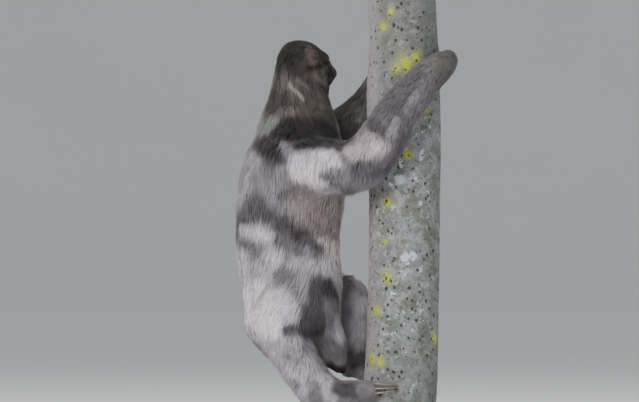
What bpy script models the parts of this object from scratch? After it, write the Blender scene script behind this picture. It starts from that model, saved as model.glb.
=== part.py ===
"""A brown-throated three-toed sloth climbing a cut length of trunk, life size, on a display stand.

The animal is modelled whole: tubes and ellipsoids for the coat's outer form are fused, smoothed and
reduced to one faceted body. The trunk, claws, eyes and nose are then cut out of it with a little
clearance, and thin discs at the joints part it into a node for each part of the body.

Metres, +Z up. The animal faces +X, towards the trunk, and its right side is at -Y. The origin is the
middle of the stand's underside.
"""

import math

import bmesh
import bpy
from mathutils import Matrix, Vector

# Stand and perch
BASE_LENGTH = 0.44
BASE_WIDTH = 0.34
BASE_THICKNESS = 0.024
BASE_CORNER = 0.03
BASE_CHAMFER = 0.003
ROD_RADIUS = 0.009
ROD_SPACING = 0.06
PERCH_FOOT = 0.1
PERCH_TOP = 0.89
PERCH_MIDDLE = 0.52
PERCH_RADIUS = 0.064
PERCH_X = 0.0865
PERCH_BOW = 0.07
PERCH_SWELL = 0.0012
PERCH_SIDES = 28
PERCH_RINGS = 10

# Clearances and mesh sizes
GAP = 0.0004
CUT = 0.0008
VOXEL = 0.0032
BODY_TRIANGLES = 3390
SMALLEST_PIECE = 5e-7

# Head
HEAD_CENTRE = Vector((-0.091, 0.0, 0.752))
HEAD_YAW = math.radians(28)
HEAD_PITCH = math.radians(8)
EYE_RADIUS = 0.0056
EYE_PLACE = (0.0375, 0.0172, 0.0065)
NOSE_PLACE = (0.0565, 0.0, -0.0115)
NOSE_RADII = (0.0058, 0.0095, 0.0062)

# Claws
HAND_CLAW_RADIUS = 0.0043
FOOT_CLAW_RADIUS = 0.0037
CLAW_TIP_RADIUS = 0.0009
CLAW_POINTS = 6


def perch_centre(height):
    """The trunk's middle at a height: it bows a little, away from the animal."""
    return Vector((PERCH_X - PERCH_BOW * (height - PERCH_MIDDLE) ** 2, 0.0, height))


def round_perch(degrees, reach, height):
    """A point at that angle and distance round the trunk's middle; 0 degrees points along +X."""
    turn = math.radians(degrees)
    return perch_centre(height) + Vector((reach * math.cos(turn), reach * math.sin(turn), 0.0))


def head_matrix():
    """The head's own frame: x forward, y to its left, z up."""
    turned = Matrix.Rotation(HEAD_YAW, 4, "Z") @ Matrix.Rotation(-HEAD_PITCH, 4, "Y")
    return Matrix.Translation(HEAD_CENTRE) @ turned


# Each limb is a line of (point, radius of the coat) from the body outwards.
TORSO = (
    (Vector((-0.137, 0.0, 0.27)), 0.034),
    (Vector((-0.127, 0.0, 0.288)), 0.061),
    (Vector((-0.115, 0.0, 0.3225)), 0.0855),
    (Vector((-0.1105, 0.0, 0.3625)), 0.0905),
    (Vector((-0.1155, 0.0, 0.415)), 0.0925),
    (Vector((-0.118, 0.0, 0.4675)), 0.0945),
    (Vector((-0.1135, 0.0, 0.52)), 0.097),
    (Vector((-0.106, 0.0, 0.56)), 0.096),
    (Vector((-0.1, 0.0, 0.6075)), 0.0865),
    (Vector((-0.0985, 0.0, 0.6425)), 0.073),
    (Vector((-0.1, 0.0, 0.675)), 0.065),
    (Vector((-0.1, 0.0, 0.705)), 0.0565),
    (Vector((-0.1, 0.0, 0.735)), 0.049),
)
TORSO_WIDTH = 0.96
TAIL = (
    (Vector((-0.078, 0.0, 0.325)), 0.044),
    (Vector((-0.06, 0.0, 0.293)), 0.041),
    (Vector((-0.047, 0.0, 0.264)), 0.0355),
    (Vector((-0.0345, 0.0, 0.242)), 0.0255),
    (Vector((-0.0255, 0.0, 0.2275)), 0.016),
)
RIGHT_ARM = (
    (Vector((-0.114, -0.062, 0.592)), 0.05),
    (Vector((-0.075, -0.083, 0.585)), 0.0505),
    (Vector((-0.03, -0.106, 0.581)), 0.048),
    (Vector((0.012, -0.12, 0.583)), 0.0465),
    (Vector((0.044, -0.12, 0.624)), 0.046),
    (Vector((0.077, -0.107, 0.6765)), 0.0405),
    (round_perch(-68, 0.096, 0.728), 0.0335),
    (round_perch(-44, 0.0895, 0.7525), 0.028),
    (round_perch(-24, 0.0835, 0.762), 0.023),
    (round_perch(-8, 0.0805, 0.768), 0.0185),
)
LEFT_ARM = (
    (Vector((-0.112, 0.062, 0.598)), 0.05),
    (Vector((-0.07, 0.087, 0.612)), 0.047),
    (Vector((-0.02, 0.11, 0.643)), 0.046),
    (Vector((0.024, 0.119, 0.676)), 0.0455),
    (Vector((0.05, 0.113, 0.714)), 0.0415),
    (Vector((0.065, 0.103, 0.753)), 0.0365),
    (round_perch(97, 0.093, 0.786), 0.031),
    (round_perch(82, 0.087, 0.801), 0.027),
    (round_perch(68, 0.083, 0.812), 0.0235),
    (round_perch(56, 0.0805, 0.818), 0.0195),
)
RIGHT_LEG = (
    (Vector((-0.126, -0.042, 0.312)), 0.054),
    (Vector((-0.115, -0.071, 0.268)), 0.044),
    (Vector((-0.087, -0.106, 0.224)), 0.0385),
    (Vector((-0.066, -0.114, 0.196)), 0.039),
    (Vector((-0.04, -0.101, 0.183)), 0.0335),
    (Vector((-0.012, -0.082, 0.184)), 0.0285),
    (Vector((0.007, -0.0735, 0.188)), 0.0245),
    (round_perch(-129, 0.086, 0.1925), 0.0195),
)
LEFT_LEG = (
    (Vector((-0.112, 0.05, 0.322)), 0.052),
    (Vector((-0.062, 0.096, 0.349)), 0.0455),
    (Vector((-0.016, 0.112, 0.359)), 0.0385),
    (Vector((-0.001, 0.102, 0.325)), 0.0325),
    (Vector((0.0, 0.085, 0.272)), 0.0265),
    (Vector((0.003, 0.073, 0.236)), 0.0245),
    (round_perch(129, 0.086, 0.212), 0.0195),
)
# Balls that round a place off: (middle, radii)
ROUNDS = {
    "withers": (Vector((-0.125, 0.0, 0.644)), (0.0495, 0.062, 0.044)),
    "rump": (Vector((-0.1365, 0.0, 0.309)), (0.062, 0.074, 0.056)),
    "right shoulder": (Vector((-0.098, -0.066, 0.585)), (0.056, 0.045, 0.053)),
    "left shoulder": (Vector((-0.098, 0.066, 0.595)), (0.056, 0.045, 0.05)),
    "right heel": (Vector((-0.016, -0.08, 0.172)), (0.026, 0.022, 0.022)),
    "left heel": (Vector((-0.014, 0.068, 0.229)), (0.021, 0.019, 0.025)),
}
# The same in the head's frame
HEAD_ROUNDS = {
    "braincase": (Vector((-0.006, 0.0, 0.005)), (0.047, 0.0485, 0.0485)),
    "cheeks": (Vector((0.004, 0.0, -0.012)), (0.042, 0.0475, 0.041)),
    "face": (Vector((0.024, 0.0, -0.004)), (0.0225, 0.032, 0.029)),
    "muzzle": (Vector((0.0415, 0.0, -0.0135)), (0.0165, 0.0185, 0.0155)),
    "chin": (Vector((0.034, 0.0, -0.0255)), (0.0155, 0.0155, 0.0115)),
    "throat": (Vector((0.0, 0.0, -0.04)), (0.042, 0.042, 0.034)),
}

# Thin discs that part the body: (middle, direction of the cut's axis, radius)
CUTS = {
    "neck from head": (Vector((-0.097, 0.0, 0.698)), Vector((0.12, 0.04, 1.0)), 0.078),
    "neck from torso": (Vector((-0.102, 0.0, 0.663)), Vector((0.05, -0.15, 1.0)), 0.088),
    "tail": (Vector((-0.049, 0.0, 0.268)), Vector((0.7, 0.0, -0.71)), 0.047),
    "right shoulder": (Vector((-0.09, -0.092, 0.588)), Vector((0.42, -0.9, 0.1)), 0.1),
    "right elbow": (Vector((0.018, -0.12, 0.584)), Vector((0.911, -0.057, 0.409)), 0.07),
    "right wrist": (round_perch(-60, 0.0955, 0.722), Vector((0.62, 0.5, 0.6)), 0.052),
    "left shoulder": (Vector((-0.09, 0.092, 0.602)), Vector((0.42, 0.9, 0.1)), 0.1),
    "left elbow": (Vector((0.025, 0.118, 0.676)), Vector((0.73, 0.03, 0.68)), 0.065),
    "left wrist": (round_perch(96, 0.093, 0.788), Vector((0.62, -0.25, 0.74)), 0.048),
    "right hip": (Vector((-0.116, -0.078, 0.26)), Vector((0.3, -0.62, -0.72)), 0.074),
    "right knee": (Vector((-0.077, -0.114, 0.2)), Vector((0.8, 0.0, -0.6)), 0.06),
    "right ankle": (Vector((-0.016, -0.084, 0.18)), Vector((0.93, 0.36, 0.1)), 0.048),
    "left hip": (Vector((-0.068, 0.091, 0.346)), Vector((0.5, 0.85, 0.12)), 0.074),
    "left knee": (Vector((-0.034, 0.106, 0.3555)), Vector((0.92, 0.32, -0.1)), 0.056),
    "left ankle": (Vector((0.001, 0.077, 0.252)), Vector((0.06, -0.25, -0.96)), 0.044),
}
# A point well inside each part, which tells the cut pieces apart
PARTS = {
    "head": HEAD_CENTRE,
    "neck": Vector((-0.1, 0.0, 0.679)),
    "torso": Vector((-0.113, 0.0, 0.45)),
    "tail": Vector((-0.032, 0.0, 0.25)),
    "right_upper_arm": Vector((-0.03, -0.11, 0.58)),
    "right_forearm": Vector((0.07, -0.112, 0.645)),
    "right_hand": round_perch(-35, 0.086, 0.75),
    "left_upper_arm": Vector((-0.03, 0.11, 0.642)),
    "left_forearm": Vector((0.05, 0.112, 0.73)),
    "left_hand": round_perch(76, 0.086, 0.804),
    "right_thigh": Vector((-0.1, -0.1, 0.23)),
    "right_shank": Vector((-0.045, -0.104, 0.185)),
    "right_foot": Vector((0.005, -0.074, 0.188)),
    "left_thigh": Vector((-0.053, 0.11, 0.354)),
    "left_shank": Vector((-0.002, 0.1, 0.32)),
    "left_foot": Vector((0.003, 0.07, 0.228)),
}


class Claws:
    """The three claws of one hand or foot: where they leave it, how they bend round the trunk and end."""

    def __init__(self, name, start, end, heights, radius, spread, reach):
        self.name = name
        self.start = start
        self.end = end
        self.heights = heights
        self.radius = radius
        self.spread = spread
        self.reach = reach

    def path(self, place):
        """Points and radii of one claw; place is -1, 0 or 1 across the hand."""
        stations = []
        for step in range(CLAW_POINTS):
            t = step / (CLAW_POINTS - 1)
            angle = self.start + (self.end - self.start) * t
            tip = PERCH_RADIUS + PERCH_SWELL + CLAW_TIP_RADIUS + 2 * GAP
            reach = self.reach + (tip - self.reach) * t**1.8 + 0.006 * math.sin(math.pi * t)
            gather = self.spread * place * (1 - 0.55 * t)
            height = self.heights[0] + (self.heights[1] - self.heights[0]) * t + gather
            radius = CLAW_TIP_RADIUS + (self.radius - CLAW_TIP_RADIUS) * (1 - t**1.6)
            stations.append((round_perch(angle, reach, height), radius))
        return stations


CLAWS = (
    Claws("right_hand_claw", -16, 48, (0.7675, 0.776), HAND_CLAW_RADIUS, 0.0118, 0.079),
    Claws("left_hand_claw", 72, 24, (0.816, 0.824), HAND_CLAW_RADIUS, 0.0118, 0.079),
    Claws("right_foot_claw", -135, -95, (0.1935, 0.195), FOOT_CLAW_RADIUS, 0.0105, 0.0845),
    Claws("left_foot_claw", 135, 95, (0.212, 0.206), FOOT_CLAW_RADIUS, 0.0105, 0.0845),
)


def clear_scene():
    """Empties the scene of whatever it held."""
    for obj in list(bpy.data.objects):
        bpy.data.objects.remove(obj, do_unlink=True)


def new_collection(name):
    """A collection of that name in the scene."""
    made = bpy.data.collections.new(name)
    bpy.context.scene.collection.children.link(made)
    return made


def new_material(name, colour, roughness, metallic=0.0):
    """A Principled material of one colour."""
    made = bpy.data.materials.new(name)
    made.use_nodes = True
    shader = made.node_tree.nodes["Principled BSDF"]
    shader.inputs["Base Color"].default_value = (*colour, 1.0)
    shader.inputs["Roughness"].default_value = roughness
    shader.inputs["Metallic"].default_value = metallic
    return made


def new_object(name, mesh, collection, material=None):
    """A mesh as an object, with its material."""
    made = bpy.data.objects.new(name, mesh)
    if material:
        mesh.materials.clear()
        mesh.materials.append(material)
    collection.objects.link(made)
    return made


def mesh_of(obj):
    """The object's shape with its modifiers applied, in world space; the object itself is removed."""
    bpy.context.view_layer.update()
    evaluated = obj.evaluated_get(bpy.context.evaluated_depsgraph_get())
    made = bpy.data.meshes.new_from_object(evaluated)
    made.transform(obj.matrix_world)
    data = obj.data
    bpy.data.objects.remove(obj, do_unlink=True)
    if isinstance(data, bpy.types.Curve):
        bpy.data.curves.remove(data)
    return made


def smooth_line(stations, per_span):
    """Points and radii along a Catmull-Rom curve through the stations."""
    ends = [stations[0], *stations, stations[-1]]
    line = []
    for index in range(len(stations) - 1):
        (a, ra), (b, rb), (c, rc), (d, rd) = ends[index : index + 4]
        for step in range(per_span):
            t = step / per_span
            weights = (
                0.5 * (-t + 2 * t**2 - t**3),
                0.5 * (2 - 5 * t**2 + 3 * t**3),
                0.5 * (t + 4 * t**2 - 3 * t**3),
                0.5 * (t**3 - t**2),
            )
            point = sum((w * p for w, p in zip(weights, (a, b, c, d))), Vector())
            line.append((point, sum(w * r for w, r in zip(weights, (ra, rb, rc, rd)))))
    return [*line, stations[-1]]


def tube(name, line, resolution, grown=0.0):
    """A closed mesh tube along points that each have a radius."""
    curve = bpy.data.curves.new(name, "CURVE")
    curve.dimensions = "3D"
    curve.bevel_depth = 1.0
    curve.bevel_resolution = resolution
    curve.use_fill_caps = True
    spline = curve.splines.new("POLY")
    spline.points.add(len(line) - 1)
    for point, (place, radius) in zip(spline.points, line):
        point.co = (*place, 1.0)
        point.radius = radius + grown
    holder = bpy.data.objects.new(name, curve)
    bpy.context.scene.collection.objects.link(holder)
    mesh = mesh_of(holder)
    shaped = bmesh.new()
    shaped.from_mesh(mesh)
    bmesh.ops.remove_doubles(shaped, verts=shaped.verts, dist=1e-5)
    bmesh.ops.recalc_face_normals(shaped, faces=shaped.faces)
    shaped.to_mesh(mesh)
    shaped.free()
    return mesh


def ball(middle, radii, frame=None, segments=24, grown=0.0):
    """An ellipsoid, upright or in another frame."""
    shape = Matrix.Diagonal((*(radius + grown for radius in radii), 1.0))
    placed = (frame or Matrix.Identity(4)) @ Matrix.Translation(middle) @ shape
    shaped = bmesh.new()
    bmesh.ops.create_uvsphere(
        shaped, u_segments=segments, v_segments=segments // 2, radius=1.0, matrix=placed
    )
    mesh = bpy.data.meshes.new("ball")
    shaped.to_mesh(mesh)
    shaped.free()
    return mesh


def disc(middle, direction, radius):
    """A thin round plate across a direction."""
    turned = direction.to_track_quat("Z", "Y").to_matrix().to_4x4()
    shaped = bmesh.new()
    bmesh.ops.create_cone(
        shaped,
        cap_ends=True,
        segments=28,
        radius1=radius,
        radius2=radius,
        depth=CUT,
        matrix=Matrix.Translation(middle) @ turned,
    )
    mesh = bpy.data.meshes.new("disc")
    shaped.to_mesh(mesh)
    shaped.free()
    return mesh


def joined(meshes, name):
    """One mesh of several."""
    together = bmesh.new()
    for mesh in meshes:
        together.from_mesh(mesh)
        bpy.data.meshes.remove(mesh)
    made = bpy.data.meshes.new(name)
    together.to_mesh(made)
    together.free()
    return made


def coat_shapes():
    """Every form that the animal's outline is fused from."""
    shapes = []
    torso = tube("torso", smooth_line(TORSO, 4), 10)
    torso.transform(Matrix.Diagonal((1.0, TORSO_WIDTH, 1.0, 1.0)))
    shapes.append(torso)
    shapes.append(ball(*TORSO[0][:1], (TORSO[0][1],) * 3))
    for name, limb in (
        ("tail", TAIL),
        ("right arm", RIGHT_ARM),
        ("left arm", LEFT_ARM),
        ("right leg", RIGHT_LEG),
        ("left leg", LEFT_LEG),
    ):
        shapes.append(tube(name, smooth_line(limb, 4), 6))
        for middle, radius in (limb[0], limb[-1]):
            shapes.append(ball(middle, (radius,) * 3))
    shapes += [ball(middle, radii) for middle, radii in ROUNDS.values()]
    frame = head_matrix()
    shapes += [ball(middle, radii, frame) for middle, radii in HEAD_ROUNDS.values()]
    return shapes


def fused_body(helpers):
    """The whole animal as one faceted body, before it is cut."""
    body = new_object("whole", joined(coat_shapes(), "whole"), helpers)
    remesh = body.modifiers.new("Fuse", "REMESH")
    remesh.mode = "VOXEL"
    remesh.voxel_size = VOXEL
    smooth = body.modifiers.new("Smooth", "SMOOTH")
    smooth.factor = 0.6
    smooth.iterations = 16
    dense = new_object("dense", mesh_of(body), helpers)
    triangles = sum(len(face.vertices) - 2 for face in dense.data.polygons)
    reduce = dense.modifiers.new("Reduce", "DECIMATE")
    reduce.ratio = BODY_TRIANGLES / triangles
    return mesh_of(dense)


def eye_spot(side):
    """Where an eye sits, in the head's frame; side is 1 for the left and -1 for the right."""
    forward, across, up = EYE_PLACE
    return Vector((forward, side * across, up))


def clearance_shapes():
    """What is cut out of the body: joint discs, trunk, claws, eyes and nose, each with its gap."""
    frame = head_matrix()
    shapes = [disc(*cut) for cut in CUTS.values()]
    shapes.append(perch_mesh(grown=GAP))
    shapes += [tube("claw", set_.path(place), 2, GAP) for set_ in CLAWS for place in (-1, 0, 1)]
    shapes += [ball(eye_spot(side), (EYE_RADIUS,) * 3, frame, 14, GAP) for side in (1, -1)]
    shapes.append(ball(Vector(NOSE_PLACE), NOSE_RADII, frame, 14, GAP))
    return shapes


def loose_pieces(mesh):
    """The separate closed pieces of a mesh, as (volume, middle, mesh)."""
    whole = bmesh.new()
    whole.from_mesh(mesh)
    whole.verts.index_update()
    left = set(whole.verts)
    pieces = []
    while left:
        reached, edge = set(), [left.pop()]
        while edge:
            vertex = edge.pop()
            reached.add(vertex)
            for link in vertex.link_edges:
                other = link.other_vert(vertex)
                if other in left:
                    left.discard(other)
                    edge.append(other)
        kept = {vertex.index for vertex in reached}
        piece = whole.copy()
        dropped = [vertex for index, vertex in enumerate(piece.verts) if index not in kept]
        bmesh.ops.delete(piece, geom=dropped, context="VERTS")
        made = bpy.data.meshes.new("piece")
        piece.to_mesh(made)
        pieces.append((piece.calc_volume(), middle_of(made), made))
        piece.free()
    whole.free()
    return pieces


def middle_of(mesh):
    """The mean place of a mesh's points."""
    return sum((vertex.co for vertex in mesh.vertices), Vector()) / len(mesh.vertices)


def cut_body(helpers, cutters, model, fur):
    """Cuts the clearances out of the whole body and names each piece that is left."""
    whole = new_object("to_cut", fused_body(helpers), helpers)
    for number, shape in enumerate(clearance_shapes()):
        cutter = new_object(f"cutter_{number}", shape, cutters)
        cutter.display_type = "WIRE"
        cutter.hide_render = True
        cut = whole.modifiers.new(cutter.name, "BOOLEAN")
        cut.operation = "DIFFERENCE"
        cut.object = cutter
    pieces = [p for p in loose_pieces(mesh_of(whole)) if p[0] > SMALLEST_PIECE]
    pieces.sort(key=lambda piece: -piece[0])
    for name, place in PARTS.items():
        nearest = min(pieces, key=lambda piece: (piece[1] - place).length)
        pieces.remove(nearest)
        new_object(name, nearest[2], model, fur)


def perch_mesh(grown=0.0):
    """The cut length of trunk: a round tube with a slight swell and bow."""
    line = []
    for ring in range(PERCH_RINGS + 1):
        t = ring / PERCH_RINGS
        height = PERCH_FOOT + (PERCH_TOP - PERCH_FOOT) * t
        swell = PERCH_SWELL * math.sin(9 * t + 1.0)
        line.append((perch_centre(height), PERCH_RADIUS + swell + grown))
    shaped = bmesh.new()
    rings = []
    for middle, radius in line:
        ring = bmesh.ops.create_circle(
            shaped, segments=PERCH_SIDES, radius=radius, matrix=Matrix.Translation(middle)
        )
        rings.append(ring["verts"])
    for low, high in zip(rings, rings[1:]):
        edges = {edge for vertex in (*low, *high) for edge in vertex.link_edges}
        around = [e for e in edges if {*e.verts} <= {*low} or {*e.verts} <= {*high}]
        bmesh.ops.bridge_loops(shaped, edges=around)
    for end in (rings[0], rings[-1]):
        bmesh.ops.contextual_create(shaped, geom=end)
    bmesh.ops.recalc_face_normals(shaped, faces=shaped.faces)
    mesh = bpy.data.meshes.new("perch")
    shaped.to_mesh(mesh)
    shaped.free()
    return mesh


def add_stand(model, wood, steel):
    """A flat base with rounded corners, and two rods up to the foot of the trunk."""
    shaped = bmesh.new()
    size = Matrix.Diagonal((BASE_LENGTH, BASE_WIDTH, BASE_THICKNESS, 1.0))
    lifted = Matrix.Translation((0.0, 0.0, BASE_THICKNESS / 2))
    bmesh.ops.create_cube(shaped, size=1.0, matrix=lifted @ size)
    corners = [e for e in shaped.edges if abs(e.verts[0].co.z - e.verts[1].co.z) > GAP]
    bmesh.ops.bevel(shaped, geom=corners, offset=BASE_CORNER, segments=5, profile=0.5, affect="EDGES")
    rim = [e for e in shaped.edges if min(v.co.z for v in e.verts) > BASE_THICKNESS - GAP]
    bmesh.ops.bevel(shaped, geom=rim, offset=BASE_CHAMFER, segments=1, affect="EDGES")
    mesh = bpy.data.meshes.new("stand_base")
    shaped.to_mesh(mesh)
    shaped.free()
    new_object("stand_base", mesh, model, wood)
    foot = perch_centre(PERCH_FOOT)
    height = PERCH_FOOT - BASE_THICKNESS - 2 * GAP
    for number, side in ((1, -1), (2, 1)):
        middle = Vector((foot.x + side * ROD_SPACING / 2, 0.0, (PERCH_FOOT + BASE_THICKNESS) / 2))
        shaped = bmesh.new()
        bmesh.ops.create_cone(
            shaped,
            cap_ends=True,
            segments=20,
            radius1=ROD_RADIUS,
            radius2=ROD_RADIUS,
            depth=height,
            matrix=Matrix.Translation(middle),
        )
        mesh = bpy.data.meshes.new(f"stand_rod_{number}")
        shaped.to_mesh(mesh)
        shaped.free()
        new_object(f"stand_rod_{number}", mesh, model, steel)


def main():
    """Builds every node."""
    clear_scene()
    model = new_collection("three_toed_sloth")
    helpers = new_collection("helpers")
    cutters = new_collection("cutters")
    fur = new_material("fur", (0.36, 0.31, 0.28), 0.9)
    horn = new_material("claw", (0.42, 0.33, 0.2), 0.35)
    eye = new_material("eye", (0.03, 0.015, 0.01), 0.08)
    nose = new_material("nose", (0.03, 0.022, 0.02), 0.45)
    bark = new_material("bark", (0.4, 0.41, 0.37), 0.9)
    wood = new_material("stand_wood", (0.06, 0.045, 0.035), 0.4)
    steel = new_material("rod_steel", (0.5, 0.5, 0.5), 0.3, 1.0)

    cut_body(helpers, cutters, model, fur)
    frame = head_matrix()
    for name, side in (("left_eye", 1), ("right_eye", -1)):
        new_object(name, ball(eye_spot(side), (EYE_RADIUS,) * 3, frame, 14), model, eye)
    new_object("nose", ball(Vector(NOSE_PLACE), NOSE_RADII, frame, 14), model, nose)
    for claws in CLAWS:
        for place in (-1, 0, 1):
            name = f"{claws.name}_{place + 2}"
            new_object(name, tube(name, claws.path(place), 2), model, horn)
    new_object("perch", perch_mesh(), model, bark)
    add_stand(model, wood, steel)


main()
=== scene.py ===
"""A three-toed sloth on its trunk: skin, coat, claws, bark, stand and studio round the frame."""

import logging
import math
from contextlib import contextmanager
from dataclasses import dataclass, fields, replace
from enum import Enum
from functools import reduce
from typing import Callable, Iterable, Iterator, Mapping, Sequence

import bpy
import numpy as np
from bpy.types import Material, Mesh, Object
from mathutils import Matrix, Vector, noise
from mathutils.bvhtree import BVHTree
from mathutils.kdtree import KDTree


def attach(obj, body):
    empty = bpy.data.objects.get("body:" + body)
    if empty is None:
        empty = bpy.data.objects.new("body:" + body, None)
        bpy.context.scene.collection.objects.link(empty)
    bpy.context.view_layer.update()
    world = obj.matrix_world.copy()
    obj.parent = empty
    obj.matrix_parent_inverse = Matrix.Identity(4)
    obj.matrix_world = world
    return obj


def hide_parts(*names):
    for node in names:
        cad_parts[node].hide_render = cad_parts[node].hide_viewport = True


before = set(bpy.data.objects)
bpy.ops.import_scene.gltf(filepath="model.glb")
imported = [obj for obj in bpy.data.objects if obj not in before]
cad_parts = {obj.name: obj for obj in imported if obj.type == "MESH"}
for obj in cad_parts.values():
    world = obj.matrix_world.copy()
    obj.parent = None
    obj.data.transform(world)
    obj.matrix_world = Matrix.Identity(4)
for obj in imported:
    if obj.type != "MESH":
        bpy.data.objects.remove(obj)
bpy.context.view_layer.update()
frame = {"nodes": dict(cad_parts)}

log = logging.getLogger("sloth")
logging.basicConfig(level=logging.INFO, format="%(name)s: %(message)s")

Array = np.ndarray
Colour = tuple[float, float, float]
Triple = tuple[float, float, float]

SEED = 1186
# The noise functions start from the clock unless they get a seed
noise.seed_set(SEED)
BAKE_MAP = "OFBake"
PELT = "pelt"
STRAND = "strand"


class Slot(Enum):
    """The material slots."""

    FUR = "fur"
    CLAW = "claw"
    EYE = "eye"
    NOSE = "nose"
    BARK = "bark"
    WOOD = "stand_wood"
    STEEL = "rod_steel"


# --- Places shared by the frame and the finish ---


@dataclass(frozen=True)
class Perch:
    """The cut length of trunk, as the frame has it."""

    foot: float = 0.1
    top: float = 0.89
    middle: float = 0.52
    radius: float = 0.064
    x: float = 0.0865
    bow: float = 0.07
    swell: float = 0.0012

    def centre(self, height: float) -> Vector:
        """Gives the trunk's middle at a height.

        Args:
            height: Height above the floor, in metres.

        Returns:
            The point on the trunk's axis.
        """
        return Vector((self.x - self.bow * (height - self.middle) ** 2, 0.0, height))

    def around(self, degrees: float, reach: float, height: float) -> Vector:
        """Gives a point round the trunk.

        Args:
            degrees: Angle round the axis, 0 along +X.
            reach: Distance from the axis.
            height: Height above the floor.

        Returns:
            The point.
        """
        turn = math.radians(degrees)
        return self.centre(height) + Vector((reach * math.cos(turn), reach * math.sin(turn), 0.0))


@dataclass(frozen=True)
class Head:
    """The head's own frame: x forward, y to its left, z up."""

    centre: Triple = (-0.091, 0.0, 0.752)
    yaw: float = math.radians(28)
    pitch: float = math.radians(8)
    eye: Triple = (0.0375, 0.0172, 0.0065)
    eye_radius: float = 0.0056
    eye_turn: float = 0.66
    nose: Triple = (0.0565, 0.0, -0.0115)
    nose_radii: Triple = (0.0058, 0.0095, 0.0062)

    @property
    def matrix(self) -> Matrix:
        """The head's frame in the model's space."""
        turned = Matrix.Rotation(self.yaw, 4, "Z") @ Matrix.Rotation(-self.pitch, 4, "Y")
        return Matrix.Translation(self.centre) @ turned

    def place(self, local: Sequence[float]) -> Triple:
        """Gives a point of the head in the model's space."""
        return tuple(self.matrix @ Vector(local))

    def turn(self, local: Sequence[float]) -> Triple:
        """Gives a direction of the head in the model's space."""
        return tuple(self.matrix.to_3x3() @ Vector(local))

    def inward(self, points: Array) -> Array:
        """Gives rows of points in the head's frame."""
        back = np.array(self.matrix.inverted())
        return points @ back[:3, :3].T + back[:3, 3]

    def outward(self, local: Array) -> Array:
        """Gives rows of the head's points in the model's space."""
        forward = np.array(self.matrix)
        return local @ forward[:3, :3].T + forward[:3, 3]


def metres(sizes: Sequence[float]) -> tuple[float, ...]:
    """Turns millimetres into metres."""
    return tuple(size / 1000 for size in sizes)


def beside(point: Triple, side: int) -> Triple:
    """Gives a place or direction on the left of the middle with 1, on the right with -1."""
    return (point[0], side * point[1], point[2])


def sides_of(point: Triple) -> tuple[int, ...]:
    """Gives both sides for a place off the middle, and one for a place on it."""
    return (1, -1) if point[1] else (1,)


def from_table(make: Callable[..., tuple], rows: Iterable[tuple] | Mapping[str, tuple]) -> tuple:
    """Makes what the rows of a table say.

    Args:
        make: Turns one row into a tuple of finished things.
        rows: The rows, or rows under the names of their places.

    Returns:
        All that was made, in the rows' order.
    """
    values = rows.values() if isinstance(rows, Mapping) else rows
    return tuple(made for row in values for made in make(*row))


PERCH = Perch()
HEAD = Head()

FLESH: tuple[str, ...] = (
    *("head", "neck", "torso", "tail"),
    *(f"{side}_{part}" for side in ("right", "left") for part in ("upper_arm", "forearm", "hand")),
    *(f"{side}_{part}" for side in ("right", "left") for part in ("thigh", "shank", "foot")),
)


# --- Modelling by hand, in the background ---


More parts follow.
